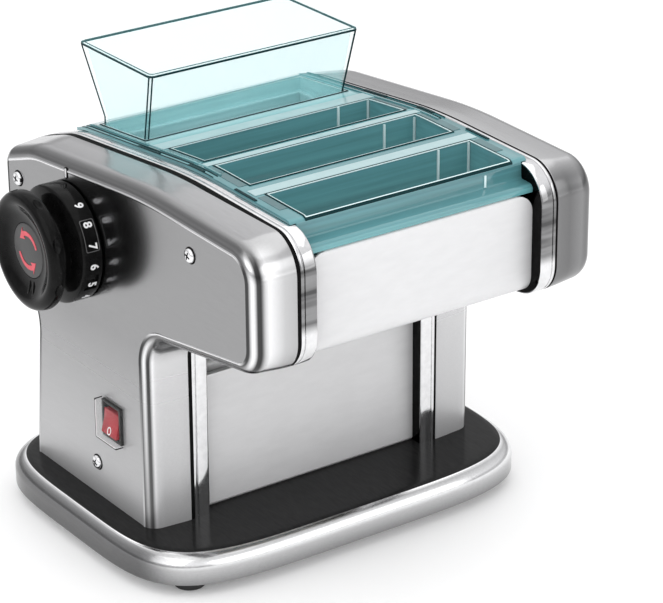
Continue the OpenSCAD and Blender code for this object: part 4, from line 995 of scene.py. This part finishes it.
# ------------------------------------------------------------------ screws
def cover_screws(s, name, node):
    parts = []
    for y, z in SCREWS:
        prof = [(1.95, COVER_X - 12), (1.95, COVER_X - 0.02), (4.5, COVER_X), (4.5, COVER_X + 0.7), (4.3, COVER_X + 1.3), (3.8, COVER_X + 1.9), (2.9, COVER_X + 2.3), (1.6, COVER_X + 2.4), (0.6, COVER_X + 2.4)]
        p = lathe("s", prof, around_x(y, z, s), 48)
        for a in (20, 110):
            c, n = math.cos(math.radians(a)), math.sin(math.radians(a))
            vs = [(s * x, y + c * u - n * v, z + n * u + c * v) for x in (COVER_X + 1.0, COVER_X + 4) for u, v in ((-2.6, -0.6), (2.6, -0.6), (2.6, 0.6), (-2.6, 0.6))]
            combine(p, [raw("slot", vs, [[0, 1, 2, 3], [7, 6, 5, 4], [0, 4, 5, 1], [1, 5, 6, 2], [2, 6, 7, 3], [3, 7, 4, 0]])])
        parts.append(p)
    bm = bmesh.new()
    for p in parts:
        bm.from_mesh(p.data)
    me = bpy.data.meshes.new(name)
    bm.to_mesh(me)
    bm.free()
    for p in parts:
        bpy.data.objects.remove(p)
    ob = bpy.data.objects.new(name, me)
    scene.collection.objects.link(ob)
    finish_piece(ob, SCREW, "chassis", [node], 32)


cover_screws(-1, "left_cover_screw_heads", "left_cover_screws")
cover_screws(1, "right_cover_screw_heads", "right_cover_screws")


def screw_rings(s, name):
    """Thin black ring under each screw head: painted shadow in the gap round the head."""
    rings = []
    for y, z in SCREWS:
        w = lathe("w", [(5.3, COVER_X - 0.3), (5.3, COVER_X + 0.22), (5.1, COVER_X + 0.3)], around_x(y, z, s), 48)
        combine(w, [tube_x("c", s * (COVER_X - 1), s * (COVER_X + 1), y, z, 4.55, 48)])
        rings.append(w)
        # painted shade: the dark floors in the cross recess stand in for its shade
        for a in (20, 110):          # dark floor of the cross recess
            c, n = math.cos(math.radians(a)), math.sin(math.radians(a))
            vs = [(s * x, y + c * u - n * v, z + n * u + c * v) for x in (COVER_X + 0.9, COVER_X + 1.5) for u, v in ((-2.3, -0.42), (2.3, -0.42), (2.3, 0.42), (-2.3, 0.42))]
            rings.append(raw("floor", vs, [[0, 1, 2, 3], [7, 6, 5, 4], [0, 4, 5, 1], [1, 5, 6, 2], [2, 6, 7, 3], [3, 7, 4, 0]]))
    one = combine(rings[0], rings[1:], "UNION")
    one.name = one.data.name = name
    finish_piece(one, SHADE_BLACK, "chassis", (), 32)


screw_rings(-1, "left_cover_screw_shadow_rings")
screw_rings(1, "right_cover_screw_shadow_rings")


# ------------------------------------------------------------------ switch
def switch():
    y, z, X = SW[0], SW[1], COVER_X
    body = box("switch_housing_frame", (-X - 0.1, y - 9.9, z - 11.7), (-X + 20, y + 9.9, z + 11.7))
    flange = box("f", (-X - 2, y - 10.9, z - 12.5), (-X, y + 10.9, z + 12.5))
    combine(body, [flange], "UNION")
    axle = lathe("c", [(1.55, y - 9.4), (1.55, y + 9.4)], lambda r, a, h: (-X + 3 + r * math.cos(a), h, z + r * math.sin(a)), 32)
    combine(body, [box("c", (-X - 3, y - 8.7, z - 10.8), (-X + 15, y + 8.7, z + 10.8)), axle])
    finish_piece(body, BLACK_M, "chassis", ["switch_housing"], 32, 0.3, 3)
    P = [(X - 7.6, z - 8.5), (X + 4.1, z - 8.9), (X + 4.5, z - 8.3), (X + 3.1, z - 3), (X + 2.25, z), (X + 1.8, z + 4), (X + 1.7, z + 6.8), (X + 1.2, z + 7.1), (X - 7.6, z + 6.9)]
    rk = loft("switch_rocker_cap", [[(-a, yy, b) for a, b in P] for yy in (y - 8.5, y + 8.5)])
    pin = lathe("p", [(1.5, y - 9.3), (1.5, y + 9.3)], lambda r, a, h: (-X + 3 + r * math.cos(a), h, z + r * math.sin(a)), 32)
    combine(rk, [pin], "UNION")
    finish_piece(rk, RED, "switch", ["switch_rocker"], 32, 0.4, 3)
    # ring and bar, the usual marks for off and on
    ring = []
    n = 32
    for r in (1.5, 2.1):
        for k in (0, 1):
            ring.append([(r * math.cos(2 * math.pi * j / n), 1.25 * r * math.sin(2 * math.pi * j / n), k) for j in range(n)])
    def on_face(u, v, k):
        zz = z - 5.6 + v
        x = X + 3.1 + (z - 3 - zz) * (1.4 / 5.3)
        return (-(x + 0.02 + 0.12 * k), y + u, zz)
    vs = [on_face(*p) for r in ring for p in r]
    fs = []
    for a, b in ((0, 1), (1, 3), (3, 2), (2, 0)):
        fs += [[a * n + j, a * n + (j + 1) % n, b * n + (j + 1) % n, b * n + j] for j in range(n)]
    finish_piece(raw("switch_mark_off", vs, fs), WHITE_INK_AND_HIGHLIGHT, "switch", (), 32)
    boot = box("switch_boot_cap", (-X - 6.6, y - 11.7, z - 13), (-X, y + 11.7, z + 13))
    combine(boot, [box("f", (-X - 1.2, y - 13.4, z - 14.4), (-X, y + 13.4, z + 14.4))], "UNION")
    combine(boot, [box("c", (-X - 5.6, y - 10.8, z - 12.2), (-X + 1, y + 10.8, z + 12.2))])
    finish_piece(boot, BOOT, "chassis", ["switch_boot"], 32, 0.5, 3)
    # painted shade and highlight along the boot's moulded edges: dark strips outside and bright strips inside
    for name, d, t, mat in (("boot_edge_dark", 0.0, 0.5, SHADE_BLACK), ("boot_edge_bright", 0.6, 0.4, WHITE_INK_AND_HIGHLIGHT)):
        hy, hz = 11.72 - d, 13.02 - d
        rods = [box("r", (-X - 6.62, y - hy, z + k * hz - t / 2), (-X - 6.62 + t, y + hy, z + k * hz + t / 2)) for k in (-1,)]
        rods += [box("r", (-X - 6.62, y + hy - t / 2, z - hz), (-X - 6.62 + t, y + hy + t / 2, z + hz))]
        if d == 0:
            rods += [box("r", (-X - 6.62, y + k * hy - t / 2, z + j * hz - t / 2), (-X - 1.1, y + k * hy + t / 2, z + j * hz + t / 2)) for k, j in ((1, 1), (-1, -1))]
        one = combine(rods[0], rods[1:], "UNION")
        one.name = one.data.name = name
        finish_piece(one, mat, "chassis", (), 32)


switch()

# ------------------------------------------------------------------ finishes of the remaining CAD nodes
FINISH = {
    ZINC: ["base_plate", "tie_rods", "cover_standoffs", "idler_pins", "adjuster_bridge", "adjuster_spindle", "detent_spring", "bearing_blocks", "gear_bridge", "motor_cradle"],
    SCREW: ["foot_screws", "frame_screws", "tie_rod_nuts"],
    ROLLER: ["fixed_roller", "adjusting_roller", "narrow_cutter_rear", "narrow_cutter_front", "medium_cutter_rear", "medium_cutter_front", "wide_cutter_rear", "wide_cutter_front"],
    GEAR: ["output_gears", "fixed_roller_gears", "adjusting_roller_gear"],
    NYLON: ["idler_gear_1", "idler_gear_2", "idler_gear_3", "idler_gear_4", "reduction_gears", "cutter_scrapers"],
    BRONZE: ["roller_bushes", "cutter_bushes"],
    BLACK_M: ["cord_gland", "motor_fan"],
    RUBBER: ["rubber_feet"],
    ALLOY: ["motor_end_caps", "motor_housing"],
    COPPER: ["motor_stator"],
    PALE: ["run_capacitor"],
}
for mat, names in FINISH.items():
    for n in names:
        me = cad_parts[n].data
        me.materials.clear()
        me.materials.append(mat)
ROTOR = metal("rotor_steel", g(0.4), g(0.55), 0.35, 0.45, (60, 8, 8), 30, 0.1)
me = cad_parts["motor_rotor"].data
me.materials.clear()
me.materials.append(ROTOR)

# ------------------------------------------------------------------ floor, light and world
bm = bmesh.new()
bmesh.ops.create_grid(bm, x_segments=8, y_segments=8, size=6)
fl = bpy.data.meshes.new("floor")
bm.to_mesh(fl)
bm.free()
floor = bpy.data.objects.new("floor", fl)
floor.location = (0, 0, -0.0002)
scene.collection.objects.link(floor)
fm, nt, b, co = blank("floor")
link(nt, ramp(nt, noise(nt, co, 2.0), (0.90, 0.90, 0.90), (0.92, 0.92, 0.92)), b.inputs["Base Color"])
b.inputs["Roughness"].default_value = 0.8
b.inputs["Emission Color"].default_value = (1, 1, 1, 1)
b.inputs["Emission Strength"].default_value = 0.10
fl.materials.append(fm)

world = bpy.data.worlds.new("studio")
scene.world = world
world.use_nodes = True
wn = world.node_tree
bg = wn.nodes["Background"]
tc = wn.nodes.new("ShaderNodeTexCoord")
sep = wn.nodes.new("ShaderNodeSeparateXYZ")
link(wn, tc.outputs["Generated"], sep.inputs[0])
cr = wn.nodes.new("ShaderNodeValToRGB")
cr.color_ramp.elements[0].position, cr.color_ramp.elements[0].color = 0.0, (0.8, 0.8, 0.8, 1)
cr.color_ramp.elements[1].position, cr.color_ramp.elements[1].color = 1.0, (1.0, 1.0, 1.0, 1)
for pos, v in ((0.470, 0.95), (0.505, 1.05), (0.527, 0.50), (0.590, 0.55), (0.650, 0.95), (0.780, 1.0)):
    e = cr.color_ramp.elements.new(pos)
    e.color = (v, v, v * 1.01, 1)
mr = wn.nodes.new("ShaderNodeMapRange")
mr.inputs["From Min"].default_value, mr.inputs["From Max"].default_value = -1, 1
link(wn, sep.outputs["Z"], mr.inputs["Value"])
link(wn, mr.outputs["Result"], cr.inputs["Fac"])
link(wn, cr.outputs["Color"], bg.inputs["Color"])
bg.inputs["Strength"].default_value = 1.0


def area(name, loc, size, power, target=(0, 0, 0.14)):
    li = bpy.data.lights.new(name, "AREA")
    li.shape, li.size, li.size_y, li.energy = "RECTANGLE", size[0], size[1], power
    ob = bpy.data.objects.new(name, li)
    ob.location = loc
    ob.rotation_mode = "QUATERNION"
    ob.rotation_quaternion = (Vector(target) - Vector(loc)).to_track_quat("-Z", "Y")
    scene.collection.objects.link(ob)


area("key", (-1.3, -0.5, 1.3), (1.6, 1.6), 6.5)
area("front", (0.5, -1.6, 0.7), (1.8, 1.2), 6.0)
area("top", (0.1, 0.2, 1.7), (2.2, 2.2), 7.5)
